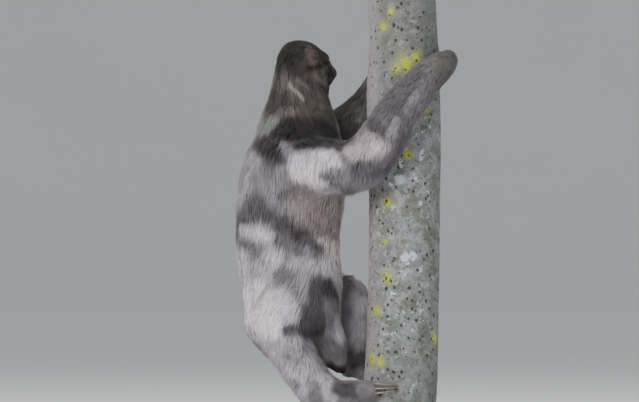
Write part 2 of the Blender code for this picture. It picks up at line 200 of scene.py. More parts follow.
class Bench:
    """Selects objects and runs the modelling operators on them."""

    @staticmethod
    def select(*objects: Object) -> None:
        """Selects only these objects and makes the first one active.

        Args:
            *objects: The objects.
        """
        bpy.ops.object.select_all(action="DESELECT")
        for obj in objects:
            obj.select_set(True)
        bpy.context.view_layer.objects.active = objects[0]

    @staticmethod
    def new(name: str, data: bpy.types.ID) -> Object:
        """Puts a mesh, curve, light or camera in the scene.

        Args:
            name: The object's name.
            data: What it shows.

        Returns:
            The object.
        """
        obj = bpy.data.objects.new(name, data)
        bpy.context.scene.collection.objects.link(obj)
        return obj

    @staticmethod
    def start(add: Callable[..., object], name: str, **sizes: object) -> Object:
        """Adds a primitive with nothing else selected.

        Args:
            add: The operator that adds it.
            name: Its name.
            **sizes: Its sizes and place.

        Returns:
            The object.
        """
        bpy.ops.object.select_all(action="DESELECT")
        add(**sizes)
        made = bpy.context.object
        made.name = made.data.name = name
        return made

    @classmethod
    def join(cls, objects: Sequence[Object], name: str) -> Object:
        """Joins several objects into one.

        Args:
            objects: The objects, of which the first keeps its data.
            name: The joined object's name.

        Returns:
            The joined object.
        """
        cls.select(*objects)
        bpy.ops.object.join()
        whole = bpy.context.view_layer.objects.active
        whole.name = whole.data.name = name
        return whole

    @classmethod
    def modify(cls, obj: Object, kind: str, **settings: object) -> None:
        """Adds a modifier, sets it and applies it at once.

        Args:
            obj: The object to change.
            kind: The modifier's type.
            **settings: The modifier's properties.
        """
        cls.select(obj)
        bpy.ops.object.modifier_add(type=kind)
        modifier = obj.modifiers[-1]
        for key, value in settings.items():
            setattr(modifier, key, value)
        bpy.ops.object.modifier_apply(modifier=modifier.name)

    @classmethod
    def round_edges(cls, obj: Object, width: float, segments: int) -> None:
        """Bevels the sharp edges.

        Args:
            obj: The object to change.
            width: The bevel's width.
            segments: How many faces the bevel has across.
        """
        sharp = {"limit_method": "ANGLE", "angle_limit": math.radians(50)}
        cls.modify(obj, "BEVEL", width=width, segments=segments, **sharp)

    @classmethod
    def settle(cls, obj: Object) -> None:
        """Puts the object's origin at 0, unturned and unscaled."""
        cls.select(obj)
        bpy.ops.object.transform_apply(location=True, rotation=True, scale=True)

    @classmethod
    def smooth(cls, obj: Object, angle: float | None = None) -> None:
        """Shades an object smooth.

        Args:
            obj: The object.
            angle: Edges sharper than this, in degrees, stay sharp.
        """
        cls.select(obj)
        if angle is None:
            bpy.ops.object.shade_smooth()
        else:
            bpy.ops.object.shade_smooth_by_angle(angle=math.radians(angle))

    @classmethod
    def dress(
        cls, obj: Object, finish: Material, angle: float | None = None
    ) -> Object:
        """Shades an object, unwraps it onto its bake map by the shape's own facing and finishes it.

        Args:
            obj: The object.
            finish: Its material.
            angle: Edges sharper than this, in degrees, stay sharp.

        Returns:
            The same object.
        """
        cls.smooth(obj, angle)
        layers = obj.data.uv_layers
        layers.active = layers.get(BAKE_MAP) or layers.new(name=BAKE_MAP)
        with cls.editing():
            bpy.ops.mesh.select_all(action="SELECT")
            bpy.ops.uv.smart_project(angle_limit=math.radians(66), island_margin=0.002)
        obj.data.materials.clear()
        obj.data.materials.append(finish)
        return obj

    @staticmethod
    @contextmanager
    def editing(kind: str | None = None) -> Iterator[None]:
        """Works in edit mode, from an empty selection where it gets a select mode.

        Args:
            kind: VERT, EDGE or FACE.

        Yields:
            Nothing.
        """
        bpy.ops.object.mode_set(mode="EDIT")
        if kind:
            bpy.ops.mesh.select_all(action="DESELECT")
            bpy.ops.mesh.select_mode(type=kind)
        yield
        bpy.ops.object.mode_set(mode="OBJECT")

    @classmethod
    def pick_points(cls, mesh: Mesh, chosen: Array) -> None:
        """Selects only these points.

        Args:
            mesh: The mesh.
            chosen: True for each point to select.
        """
        with cls.editing("VERT"):
            pass
        mesh.vertices.foreach_set("select", chosen)

    @classmethod
    def pick_upright(cls, mesh: Mesh, rise: float) -> None:
        """Selects only the edges that rise more than this.

        Args:
            mesh: The mesh.
            rise: The difference in height.
        """
        with cls.editing("EDGE"):
            pass
        for edge in mesh.edges:
            low, high = (mesh.vertices[i].co.z for i in edge.vertices)
            edge.select = abs(low - high) > rise

    @classmethod
    def pick_level(cls, mesh: Mesh, facing: int = 1) -> None:
        """Selects only the level faces that look up.

        Args:
            mesh: The mesh.
            facing: -1 for those that look down.
        """
        with cls.editing("FACE"):
            pass
        for face in mesh.polygons:
            face.select = face.normal.z * facing > 0.9


def points_of(mesh: Mesh, field: str = "co") -> Array:
    """Reads a mesh's points.

    Args:
        mesh: The mesh.
        field: co for the places, normal for the normals.

    Returns:
        One row a point.
    """
    flat = np.empty(len(mesh.vertices) * 3)
    mesh.vertices.foreach_get(field, flat)
    return flat.reshape(-1, 3)


def set_points(mesh: Mesh, points: Array) -> None:
    """Writes a mesh's points."""
    mesh.vertices.foreach_set("co", np.ascontiguousarray(points).ravel())
    mesh.update()


def write_attribute(mesh: Mesh, name: str, kind: str, values: Array) -> None:
    """Stores one value a point.

    Args:
        mesh: The mesh.
        name: The attribute's name.
        kind: FLOAT_COLOR, FLOAT_VECTOR or FLOAT.
        values: One row a point.
    """
    made = mesh.attributes.new(name, kind, "POINT")
    field = {"FLOAT_COLOR": "color", "FLOAT_VECTOR": "vector", "FLOAT": "value"}[kind]
    made.data.foreach_set(field, np.ascontiguousarray(values, dtype=np.float32).ravel())


def unit(vectors: Array) -> Array:
    """Scales rows to unit length."""
    return vectors / np.maximum(np.linalg.norm(vectors, axis=1, keepdims=True), 1e-9)


def ease(low: float, high: float, value: Array) -> Array:
    """Rises smoothly from 0 at low to 1 at high."""
    t = np.clip((value - low) / (high - low), 0.0, 1.0)
    return t * t * (3 - 2 * t)


def drift(points: Array, scale: float, offset: float = 0.0) -> Array:
    """Gives a smooth random vector at each point.

    Args:
        points: (n, 3) places.
        scale: Size of the random pattern, in metres.
        offset: Moves the pattern, for one that differs.

    Returns:
        (n, 3) values of about -1 to 1.
    """
    shift = Vector((offset, offset * 0.7, -offset))
    step = 1.0 / scale
    return np.array([noise.noise_vector(Vector(p) * step + shift) for p in points.tolist()])


# --- The lie of the coat ---


@dataclass(frozen=True)
class Comb:
    """How the coat lies round one place of the body."""

    name: str
    centre: Triple
    reach: float
    lie: Triple
    length: float
    depth: float
    hang: float
    width: float
    force: float

    def mirrored(self) -> "Comb":
        """The same comb on the other side of the body."""
        flipped = {"centre": beside(self.centre, -1), "lie": beside(self.lie, -1)}
        return replace(self, name=self.name + " far", **flipped)


def body_comb(
    name: str,
    centre: Triple,
    reach: float,
    lie: Triple,
    length: float,
    depth: float,
    hang: float = 0.25,
    width: float = 1050,
    force: float = 1.0,
) -> tuple[Comb, ...]:
    """Makes a comb from sizes in millimetres.

    Args:
        name: The place on the body.
        centre: Its middle.
        reach: How far its hold reaches.
        lie: The direction that the hair runs in.
        length: The hair's length.
        depth: How far the coat stands off the skin.
        hang: How freely the hair hangs, 0 to 1.
        width: A tuft's width, in thousandths of a millimetre.
        force: How far it overrules its neighbours.

    Returns:
        The comb.
    """
    reach, length, depth = metres((reach, length, depth))
    return (Comb(name, metres(centre), reach, lie, length, depth, hang, width / 1e6, force),)


# The last three values of a comb on the head, where its row leaves them out
HEAD_HAIR: tuple[float, ...] = (0.15, 900, 1.0)


def head_comb(name: str, local: Triple, *facts: object) -> tuple[Comb, ...]:
    """Makes a comb in the head's frame, on both sides of the face where it is off the middle.

    Args:
        name: The place on the head.
        local: Its middle in the head's frame.
        *facts: The rest of the values that body_comb takes.

    Returns:
        The combs.
    """
    (comb,) = body_comb(name, local, *facts, *HEAD_HAIR[len(facts) - 4 :])
    return tuple(
        replace(
            comb,
            name=f"{name} {side}",
            centre=HEAD.place(beside(comb.centre, side)),
            lie=HEAD.turn(beside(comb.lie, side)),
        )
        for side in sides_of(local)
    )


TRUNK_ROWS: tuple[tuple, ...] = (
    ("shoulder blades", (-175, -20, 600), 50, (-0.05, 0, -1), 44, 14, 0.3),
    ("back", (-210, -20, 490), 60, (-0.05, 0, -1), 44, 14),
    ("loins", (-205, -20, 390), 55, (-0.1, 0, -1), 44, 14),
    ("rump", (-180, -30, 310), 50, (-0.1, -0.1, -1), 42, 13),
    ("upper flank", (-120, -100, 530), 50, (-0.08, -0.05, -1), 42, 14, 0.35),
    ("flank", (-130, -100, 450), 55, (-0.34, 0, -0.94), 44, 14),
    ("lower flank", (-130, -90, 370), 50, (-0.58, 0, -0.82), 46, 14),
    ("haunch", (-150, -75, 310), 45, (-0.5, 0, -0.87), 44, 13),
    ("side of belly", (-55, -70, 460), 50, (-0.4, -0.3, -0.87), 40, 13),
    ("belly", (-22, -12, 470), 45, (-0.1, -0.55, -0.8), 34, 12),
    ("breast", (-25, -15, 570), 45, (-0.1, -0.4, -0.9), 34, 12),
    ("groin", (-30, -20, 360), 45, (0.05, -0.12, -1), 34, 11, 0.4),
    ("seat", (-100, -20, 240), 45, (0.35, 0, -0.9), 34, 11, 0.3),
    ("nape", (-158, -20, 665), 35, (-0.1, 0, -1), 44, 14, 0.4),
    ("side of neck", (-95, -64, 670), 35, (0.42, 0, -0.9), 44, 13, 0.3),
    ("front of neck", (-45, -30, 675), 35, (0.2, -0.1, -1), 36, 12, 0.3),
)
TRUNK_COMBS: tuple[Comb, ...] = from_table(body_comb, TRUNK_ROWS)
LIMB_ROWS: tuple[tuple, ...] = (
    ("near shoulder", (-100, -110, 605), 42, (0.05, -0.1, -1), 46, 14, 0.45),
    ("near upper arm", (-30, -145, 590), 45, (0.08, -0.05, -1), 46, 14, 0.5),
    ("near arm fringe", (-20, -105, 540), 40, (0, 0, -1), 46, 14, 0.7),
    ("near elbow", (30, -145, 570), 35, (-0.25, 0, -1), 38, 12, 0.4),
    ("near elbow top", (30, -120, 625), 35, (-0.2, -0.2, -1), 34, 12, 0.3),
    ("near forearm", (65, -130, 650), 40, (-0.5, -0.1, -0.85), 28, 9),
    ("near wrist", (115, -110, 705), 35, (-0.6, -0.1, -0.8), 22, 7, 0.2, 900),
    ("near hand", (148, -60, 750), 30, (-0.6, -0.5, -0.6), 14, 5, 0.15, 800),
    ("near fingers", (165, -15, 768), 20, (-0.2, -0.9, -0.4), 10, 3, 0.1, 750),
    ("far shoulder", (-100, 110, 610), 42, (0.05, 0.1, -1), 44, 14, 0.45),
    ("far upper arm", (-30, 145, 640), 45, (0, 0.1, -1), 44, 13, 0.5),
    ("far elbow", (30, 140, 660), 40, (-0.2, 0, -1), 36, 12, 0.4),
    ("far forearm", (60, 130, 735), 40, (-0.2, 0.1, -1), 28, 9),
    ("far wrist", (78, 105, 780), 30, (-0.3, 0.2, -1), 20, 7, 0.2, 900),
    ("far hand", (110, 85, 805), 28, (-0.8, 0.3, -0.6), 13, 5, 0.15, 800),
    ("far fingers", (135, 62, 818), 20, (-0.7, 0.7, -0.3), 10, 3, 0.1, 750),
    ("near thigh", (-125, -115, 260), 40, (-0.35, -0.05, -0.94), 38, 12, 0.3),
    ("near knee", (-80, -145, 195), 35, (-0.45, -0.1, -0.9), 32, 10, 0.3),
    ("near shank", (-40, -125, 180), 32, (-0.4, 0, -0.9), 26, 9, 0.3),
    ("near ankle", (-5, -100, 185), 24, (-0.5, -0.1, -0.85), 18, 6, 0.2, 900),
    ("near toes", (20, -85, 192), 20, (-0.8, -0.2, -0.55), 11, 3, 0.1, 750),
    ("far thigh", (-70, 125, 350), 40, (-0.4, 0.1, -0.9), 36, 12, 0.3),
    ("far knee", (-10, 130, 370), 35, (-0.2, 0.1, -1), 30, 10, 0.3),
    ("far shank", (0, 110, 300), 35, (-0.3, 0.1, -1), 26, 8, 0.25),
    ("far ankle", (0, 85, 240), 25, (-0.3, 0.1, -1), 18, 6, 0.2, 900),
    ("far toes", (20, 85, 212), 20, (-0.8, 0.2, -0.5), 11, 3, 0.1, 750),
    ("tail", (-30, 0, 250), 30, (0.4, 0, -0.9), 22, 7, 0.2, 900),
)
LIMB_COMBS: tuple[Comb, ...] = from_table(body_comb, LIMB_ROWS)
HEAD_ROWS: tuple[tuple, ...] = (
    ("crown", (-5, 0, 52), 26, (-1, 0, 0), 22, 8),
    ("forehead", (28, 0, 34), 17, (-0.75, 0, 0.66), 14, 5),
    ("temple", (8, 40, 20), 18, (-0.75, 0.3, -0.4), 22, 8),
    ("ear place", (-15, 46, 8), 20, (-0.3, 0.2, -0.95), 30, 9),
    ("cheek", (12, 45, -14), 18, (0, 0.25, -1), 24, 9),
    ("jaw", (8, 34, -38), 18, (0.35, 0.2, -0.95), 28, 9),
    ("back of head", (-55, 20, 0), 28, (0.1, 0.1, -1), 34, 11, 0.3),
    ("below head", (-45, 30, -45), 28, (0.3, 0.1, -1), 42, 13, 0.35),
    ("face side", (34, 26, -4), 10, (-0.5, 0.85, -0.2), 8, 2.2, 0.1, 850, 3),
    ("eye ring", (43, 17.2, 6.5), 8, (-0.5, 0.8, 0.3), 4.5, 1, 0.1, 700, 9),
    ("bridge", (48, 0, 4), 9, (-0.6, 0, 0.8), 6, 1.4, 0.1, 750, 6),
    ("muzzle side", (48, 14, -13), 9, (-0.9, 0.5, 0), 4.8, 1.1, 0.1, 700, 9),
    ("lips", (54, 0, -22), 8, (-0.6, 0, -0.7), 4.5, 1, 0.1, 700, 9),
    ("chin", (38, 0, -35), 12, (-0.3, 0, -0.95), 10, 3, 0.1, 900, 3),
    ("throat", (12, 0, -55), 22, (0.25, 0, -0.97), 26, 9),
)
HEAD_COMBS: tuple[Comb, ...] = from_table(head_comb, HEAD_ROWS)


class Grooming:
    """Blends the combs into one lie of the coat."""

    def __init__(self, combs: Iterable[Comb]) -> None:
        """Puts the combs' values in rows.

        Args:
            combs: The combs.
        """
        self.combs = tuple(combs)
        self.centres = np.array([c.centre for c in self.combs])
        self.reaches = np.array([c.reach for c in self.combs])
        self.forces = np.array([c.force for c in self.combs])
        self.lies = unit(np.array([c.lie for c in self.combs]))
        self.facts = np.array([(c.length, c.depth, c.hang, c.width) for c in self.combs])

    def weights(self, points: Array) -> Array:
        """Gives each comb's share at each point.

        Args:
            points: (n, 3) places.

        Returns:
            Rows that sum to 1.
        """
        gaps = np.linalg.norm(points[:, None, :] - self.centres[None], axis=2)
        shares = self.forces * np.exp(-((gaps / self.reaches) ** 2)) + 1e-9 / (gaps + 0.01) ** 2
        return shares / shares.sum(axis=1, keepdims=True)

    def at(self, points: Array) -> tuple[Array, ...]:
        """Reads the coat at each point.

        Args:
            points: (n, 3) places.

        Returns:
            Its lie, length, depth, hang and width.
        """
        shares = self.weights(points)
        return (unit(shares @ self.lies), *(shares @ self.facts).T)


GROOMING = Grooming(
    (*TRUNK_COMBS, *(c.mirrored() for c in TRUNK_COMBS), *LIMB_COMBS, *HEAD_COMBS)
)


# --- Markings, with painted shade and painted light among them ---


WHITE: Colour = (0.6, 0.565, 0.605)
PALE: Colour = (0.46, 0.42, 0.455)
LIGHT: Colour = (0.35, 0.32, 0.345)
GREY: Colour = (0.2, 0.178, 0.196)
SLATE: Colour = (0.135, 0.12, 0.132)
UMBER: Colour = (0.078, 0.066, 0.071)
DUSK: Colour = (0.026, 0.021, 0.024)
SOOT: Colour = (0.017, 0.012, 0.012)
FAWN: Colour = (0.225, 0.192, 0.186)
TAN: Colour = (0.34, 0.298, 0.29)
BLUSH: Colour = (0.5, 0.43, 0.44)
ROSE: Colour = (0.105, 0.079, 0.075)
WOOL: Colour = (0.046, 0.039, 0.036)
MOSS: Colour = (0.031, 0.029, 0.025)
BUFF: Colour = (0.165, 0.143, 0.131)
LICHEN: Colour = (0.2, 0.216, 0.192)


def fur(tone: float) -> Colour:
    """Gives the coat's mauve grey at that lightness."""
    return (tone * 1.04, tone * 0.94, tone * 1.02)


@dataclass(frozen=True)
class Patch:
    """A soft-edged marking: a ragged ellipsoid of colour, drawn out to a second middle if any."""

    centre: Triple
    radii: Triple
    colour: Colour
    strength: float
    edge: float
    ragged: float
    end: Triple | None = None

    def share(self, points: Array, wander: Array) -> Array:
        """Gives how much of the marking's colour each point takes.

        Args:
            points: (n, 3) places.
            wander: How far each place is moved to make the edge ragged.

        Returns:
            Shares from 0 to 1.
        """
        centre, radii = np.array(self.centre), np.array(self.radii)
        moved = (points - centre) / radii + wander * self.ragged
        if self.end:
            run = (np.array(self.end) - centre) / radii
            moved -= np.clip(moved @ run / (run @ run), 0, 1)[:, None] * run
        far = np.linalg.norm(moved, axis=1)
        return self.strength * (1 - ease(1 - self.edge, 1 + self.edge, far))


def body_patch(
    centre: Triple,
    radii: Triple,
    colour: Colour,
    strength: float = 1.0,
    edge: float = 0.35,
    ragged: float = 0.35,
) -> tuple[Patch, ...]:
    """Makes a marking anywhere on the body.

    Args:
        centre: Its middle, in millimetres.
        radii: Its half sizes, in millimetres.
        colour: Its colour.
        strength: How fully it covers what is below.
        edge: How soft its edge is.
        ragged: How far its edge wanders.

    Returns:
        The marking.
    """
    return (Patch(metres(centre), metres(radii), colour, strength, edge, ragged),)


def head_patch(
    local: Triple,
    radius: float,
    colour: Colour,
    strength: float = 1.0,
    edge: float = 0.35,
    ragged: float = 0.2,
    stretch: Triple = (1.0, 1.0, 1.0),
) -> tuple[Patch, ...]:
    """Makes a marking on the head, on both sides where it is off the middle.

    Args:
        local: Its middle in the head's frame, in millimetres.
        radius: Its size, in millimetres.
        colour: Its colour.
        strength: How fully it covers what is below.
        edge: How soft its edge is.
        ragged: How far its edge wanders.
        stretch: How much wider it is along each axis.

    Returns:
        The markings.
    """
    radii = tuple(radius / 1000 * share for share in stretch)
    return tuple(
        Patch(HEAD.place(beside(metres(local), side)), radii, colour, strength, edge, ragged)
        for side in sides_of(local)
    )


def marking(
    x: float,
    z: float,
    end_x: float,
    end_z: float,
    width: float,
    tone: float | Colour,
    strength: float = 1.0,
    edge: float = 0.4,
    ragged: float = 0.3,
) -> tuple[Patch, ...]:
    """Makes a marking on the near side, seen square on: a band between two places.

    Args:
        x: The start's place along the body, in millimetres.
        z: The start's height.
        end_x: The end's place along the body.
        end_z: The end's height.
        width: Half the band's width.
        tone: Its colour, or the lightness of its grey.
        strength: How fully it covers what is below.
        edge: How soft its edge is.
        ragged: How far its edge wanders.

    Returns:
        The marking.
    """
    colour = fur(tone) if isinstance(tone, float) else tone
    start, end, radii = map(metres, ((x, -110, z), (end_x, -110, end_z), (width, 600, width)))
    return (Patch(start, radii, colour, strength, edge, ragged, end),)


NEAR_MARKS: dict[str, tuple] = {
    # Back and flank
    "back light": (-185, 590, -200, 530, 24, 0.324, 0.9),
    "flank light": (-165, 555, -148, 530, 18, 0.241, 0.9),
    "side streak": (-132, 575, -130, 553, 7, 0.312, 0.9),
    "side grey": (-108, 532, -125, 527, 13, 0.106, 0.85),
    "flank cream": (-118, 508, -100, 497, 10, 0.258, 0.9),
    "flank dark": (-168, 512, -192, 488, 21, 0.106),
    "flank dark low": (-196, 477, -206, 466, 9, 0.05, 0.95),
    "flank dark fore": (-160, 500, -128, 482, 12, 0.076, 0.95),
    "flank pale": (-190, 467, -152, 456, 13, 0.532),
    "flank spot": (-194, 443, -178, 441, 10, 0.145),
    "flank stroke": (-164, 438, -175, 414, 3.5, 0.191, 0.8),
    "flank stroke two": (-150, 436, -163, 408, 3.5, 0.191, 0.8),
    "loin light": (-200, 418, -192, 370, 16, 0.577, 0.8),
    "loin pale": (-155, 400, -160, 365, 22, 0.401, 0.9),
    "loin spot": (-132, 389, -112, 392, 11, 0.149),
    # Side of the belly
    "belly side": (-75, 500, -45, 470, 40, FAWN),
    "belly pale": (-55, 445, -30, 430, 14, BLUSH, 0.9),
    # Belly pale fore and belly streak: pale fur, partly its own colour and partly painted light
    # along the belly's turning edge
    "belly pale fore": (-36, 440, -30, 420, 10, (0.62, 0.54, 0.55), 0.9),
    "belly streak": (-36, 525, -34, 468, 8, (0.31, 0.27, 0.262), 0.8),
    "belly streak low": (-85, 490, -55, 458, 5, (0.176, 0.15, 0.146), 0.6),
    "flank band": (-125, 476, -92, 457, 18, 0.08),
    "flank band core": (-100, 462, -86, 453, 9, 0.038, 0.9),
    "flank band end": (-88, 453, -60, 436, 8, 0.096),
    "flank mauve": (-130, 450, -104, 434, 13, 0.122, 0.9),
    "side shade": (-140, 508, -126, 502, 9, 0.165, 0.9),
    "loin bright": (-148, 427, -136, 423, 13, 0.508, 0.95),
    "waist": (-110, 412, -40, 400, 13, 0.368, 0.95),
    "waist fore": (-50, 408, -30, 390, 12, 0.438, 0.95),
    # Groin, groin fore and groin edge: painted shade in the hollow between belly and leg
    "groin": (-67, 372, -68, 305, 18, 0.082),
    "groin fore": (-50, 375, -38, 345, 11, 0.045, 0.9),
    "groin edge": (-90, 330, -90, 300, 8, 0.085, 0.95),
    "lobe top": (-42, 335, -36, 310, 13, 0.173, 0.9),
    "lobe light": (-27, 312, -22, 275, 10, 0.42, 0.9, 0.6),
    "lobe": (-55, 275, -30, 255, 14, 0.11, 0.8),
    # Haunch and leg
    "rump white": (-170, 345, -155, 300, 32, 0.738),
    "haunch pale": (-130, 350, -110, 325, 17, 0.586),
    "haunch grey": (-92, 385, -90, 350, 9, 0.257, 0.8),
    "rump stroke": (-150, 375, -178, 335, 4, 0.229, 0.6),
    # Leg crease and its core: painted shade in the crease between body and thigh
    "leg crease": (-118, 294, -75, 286, 10, 0.104),
    "leg crease core": (-90, 290, -62, 290, 8, 0.058),
    "thigh band": (-150, 267, -100, 276, 11, 0.37),
    "thigh pale": (-140, 245, -85, 235, 20, 0.36, 0.9),
    "knee pale": (-113, 218, -90, 185, 15, 0.45, 0.9),
    "shin pale": (-64, 217, -46, 213, 7, 0.45, 0.9),
    "rump edge": (-182, 288, -140, 252, 10, 0.4, 0.8),
    "thigh spot": (-120, 251, -106, 245, 7, 0.223, 0.95),
    "thigh spot two": (-94, 247, -88, 240, 6, 0.258, 0.8),
    "knee spot": (-103, 206, -100, 200, 6.5, 0.2, 0.9, 0.6),
    "shank rose": (-75, 183, -66, 176, 9, 0.16, 0.9),
    "shank pale": (-48, 200, -44, 176, 11, 0.477, 0.9),
    "shank mauve": (-30, 195, -4, 190, 12, 0.105, 0.95),
    "ankle": (10, 191, 22, 196, 11, 0.23, 0.9),
    # Neck and shoulder
    "neck": (-140, 695, -60, 685, 40, (0.072, 0.061, 0.057), 1, 0.3),
    "neck fore": (-52, 660, -46, 710, 26, (0.095, 0.083, 0.078), 1, 0.3),
    "collar": (-128, 642, -58, 642, 22, 0.029, 1, 0.3),
    "collar step": (-122, 630, -112, 628, 8, 0.03, 0.9),
    "collar fore": (-60, 632, -22, 628, 16, 0.038, 1, 0.35),
    # Collar low, its core and collar back: painted shadow beside and behind the shoulder
    "collar low": (-155, 615, -139, 595, 18, 0.058, 1, 0.35),
    "collar low core": (-148, 618, -142, 602, 9, 0.03, 0.8),
    "collar back": (-178, 622, -160, 612, 14, 0.045, 0.9),
    "nape tuft": (-158, 647, -142, 660, 11, LICHEN, 1, 0.3),
    "nape fringe": (-134, 671, -104, 676, 6.5, (0.13, 0.113, 0.108), 0.95, 0.35),
    "nape shade": (-122, 690, -108, 688, 9, (0.05, 0.042, 0.039), 0.8),
    "shoulder shade": (-98, 616, -30, 612, 10, 0.043),
    # Painted shade in the gap above the shoulder
    "shoulder gap": (-24, 630, -24, 602, 9, 0.067),
    "shoulder white": (-98, 585, -45, 589, 19, 0.62),
    "shoulder fringe": (-100, 566, -60, 550, 14, 0.642, 1, 0.3),
    "arm grey": (-40, 560, -6, 555, 15, 0.189),
    "arm grey dark": (-56, 561, -45, 558, 8, 0.125, 0.95),
    "arm tips": (-66, 538, -30, 533, 6, 0.483, 0.8),
    # Painted shade in the crease between arm and shoulder
    "arm crease": (-16, 588, 4, 576, 9, 0.177, 0.9),
    # Painted shade under the elbow
    "elbow under": (10, 575, 38, 580, 22, 0.09, 0.9),
    "elbow shade": (55, 590, 85, 630, 20, 0.148),
    "forearm": (60, 685, 130, 745, 34, 0.119),
    "forearm low": (85, 655, 125, 710, 18, 0.158, 0.9),
    "forearm arc": (104, 702, 85, 676, 7, 0.249, 0.6),
    "hand": (148, 758, 170, 772, 32, (0.155, 0.15, 0.145)),
    "arm top": (-5, 648, 20, 665, 12, 0.165, 0.8),
    "elbow white": (-6, 602, 42, 609, 15, (0.47, 0.41, 0.43)),
    "elbow white top": (12, 622, 20, 628, 10, (0.33, 0.295, 0.295), 0.95),
    "forearm dark": (30, 652, 46, 636, 12, 0.082, 0.95),
    "forearm pale": (68, 656, 60, 632, 8.5, 0.295, 0.95),
}
NEAR_PATCHES: tuple[Patch, ...] = from_table(marking, NEAR_MARKS)
OTHER_MARKS: dict[str, tuple] = {
    "breast": ((-20, 20, 550), (45, 75, 60), FAWN, 0.9),
    "belly": ((-30, 20, 460), (45, 75, 100), (0.4, 0.355, 0.345), 0.9),
    "tail": ((-45, 0, 280), (35, 50, 40), GREY, 0.9),
    # Tail tip and tail ring: near black, painted shadow round the tail's tip
    "tail tip": ((-30, 0, 224), (27, 30, 13), SOOT, 0.9),
    "tail ring": ((-43, 0, 233), (9, 30, 12), SOOT, 0.8),
    "spine": ((-210, 0, 500), (50, 20, 140), GREY, 0.55),
    "back pale one": ((-200, 30, 540), (40, 30, 30), PALE, 0.8),
    "back pale two": ((-210, 0, 410), (35, 28, 30), WHITE, 0.8),
    "back dark": ((-210, 35, 460), (35, 22, 20), SLATE, 0.8),
    "back pale three": ((-200, -20, 330), (35, 50, 40), WHITE, 0.8),
    "neck behind": ((-120, 40, 690), (60, 60, 32), WOOL),
    "far collar": ((-100, 60, 642), (65, 50, 22), DUSK, 1, 0.35),
    "nape behind": ((-172, 0, 652), (20, 35, 12), LICHEN, 0.9),
    "far shoulder": ((-85, 120, 600), (50, 50, 36), WHITE, 0.95, 0.3),
    "far arm": ((-10, 100, 670), (50, 70, 45), (0.075, 0.074, 0.068), 0.95),
    "far forearm": ((30, 100, 730), (50, 50, 50), (0.055, 0.053, 0.051), 0.95),
    "far wrist": ((80, 110, 770), (40, 50, 40), SLATE, 0.9),
    "far hand": ((120, 70, 815), (40, 50, 30), (0.118, 0.114, 0.108)),
    "far elbow": ((30, 160, 670), (30, 25, 24), PALE, 0.9),
    "far armpit": ((-70, 90, 550), (50, 40, 22), UMBER, 0.9),
    "far flank dark": ((-165, 75, 500), (34, 50, 24), UMBER, 1, 0.3),
    "far flank pale": ((-140, 90, 455), (40, 50, 24), PALE, 0.95),
    "far flank spot": ((-120, 100, 400), (22, 30, 20), GREY, 0.95),
    "far rump": ((-160, 60, 330), (40, 60, 36), WHITE, 0.9),
    "far shank": ((2, 90, 310), (30, 50, 55), PALE, 0.85),
    "far knee": ((5, 100, 372), (20, 50, 16), LIGHT, 0.85),
    # Far ankle: painted shade in the gap between the tail and the trunk
    "far ankle": ((4, 70, 238), (22, 40, 20), UMBER, 0.9),
}
OTHER_PATCHES: tuple[Patch, ...] = from_table(body_patch, OTHER_MARKS)
HEAD_MARKS: dict[str, tuple] = {
    "side of head": ((-5, 48, -20), 34, (0.069, 0.058, 0.055), 0.9, 0.5),
    "back of head": ((-58, 22, -14), 16, (0.14, 0.124, 0.116), 1, 0.6, 0.3, (1, 1, 1.3)),
    "behind ear": ((-45, 36, -30), 14, (0.122, 0.109, 0.102), 0.9, 0.6, 0.3, (1, 1, 1.3)),
    "brow": ((0, 40, 26), 18, ROSE, 1, 0.3, 0.15, (0.75, 0.9, 1.1)),
    "brow side": ((-2, 47, 8), 10, ROSE, 0.8, 0.4, 0.15),
    # Face: a muted buff, partly the face's own pale colour and partly painted shade of the face
    # turned away from the light
    "face": ((38, 0, 4), 26, BUFF, 0.8, 0.3),
    "cheek": ((0, 48, -14), 9, ROSE, 0.9, 0.5, 0.2),
    "cheek rim": ((8, 46, -20), 6.5, BUFF, 0.4, 0.5, 0.2, (1.5, 1, 0.8)),
    "cheek fore": ((21, 38, -28), 8, (0.12, 0.102, 0.093), 0.7, 0.6, 0.2),
    "eye stripe": ((29, 28, 4.5), 7.5, SOOT, 0.9, 0.35, 0.15, (1.4, 1.4, 0.6)),
    "stripe middle": ((10, 43, 0.5), 7, SOOT, 0.9, 0.4, 0.15, (1.5, 1.3, 0.5)),
    "stripe end": ((-10, 48, -1), 9, SOOT, 0.95, 0.4, 0.15, (1.2, 1.2, 0.7)),
    "eye rim": ((40, 17.2, 6.5), 8.5, SOOT, 1, 0.25, 0.1),
    "muzzle": ((56, 0, -16), 18, UMBER, 0.95, 0.35),
    "throat": ((20, 0, -50), 30, WOOL, 0.8),
    "jaw": ((36, 24, -34), 12, (0.075, 0.062, 0.058), 0.8, 0.5),
}
HEAD_PATCHES: tuple[Patch, ...] = (
    *body_patch((-91, 0, 757), (75, 75, 66), MOSS, 1.0, 0.2),
    *from_table(head_patch, HEAD_MARKS),
)


WISP_MARKS: dict[str, tuple] = {
    "nape wisp": (-116, 722, -92, 697, 2.6, TAN, 0.85),
    "nape wisp two": (-102, 731, -84, 716, 2.2, FAWN, 0.6),
    "cheek wisp": (-74, 742, -56, 724, 2.4, (0.16, 0.137, 0.13), 0.8),
    "nape wisp three": (-125, 735, -120, 715, 6, (0.15, 0.132, 0.126), 0.7),
}
WISPS: tuple[Patch, ...] = from_table(marking, WISP_MARKS)


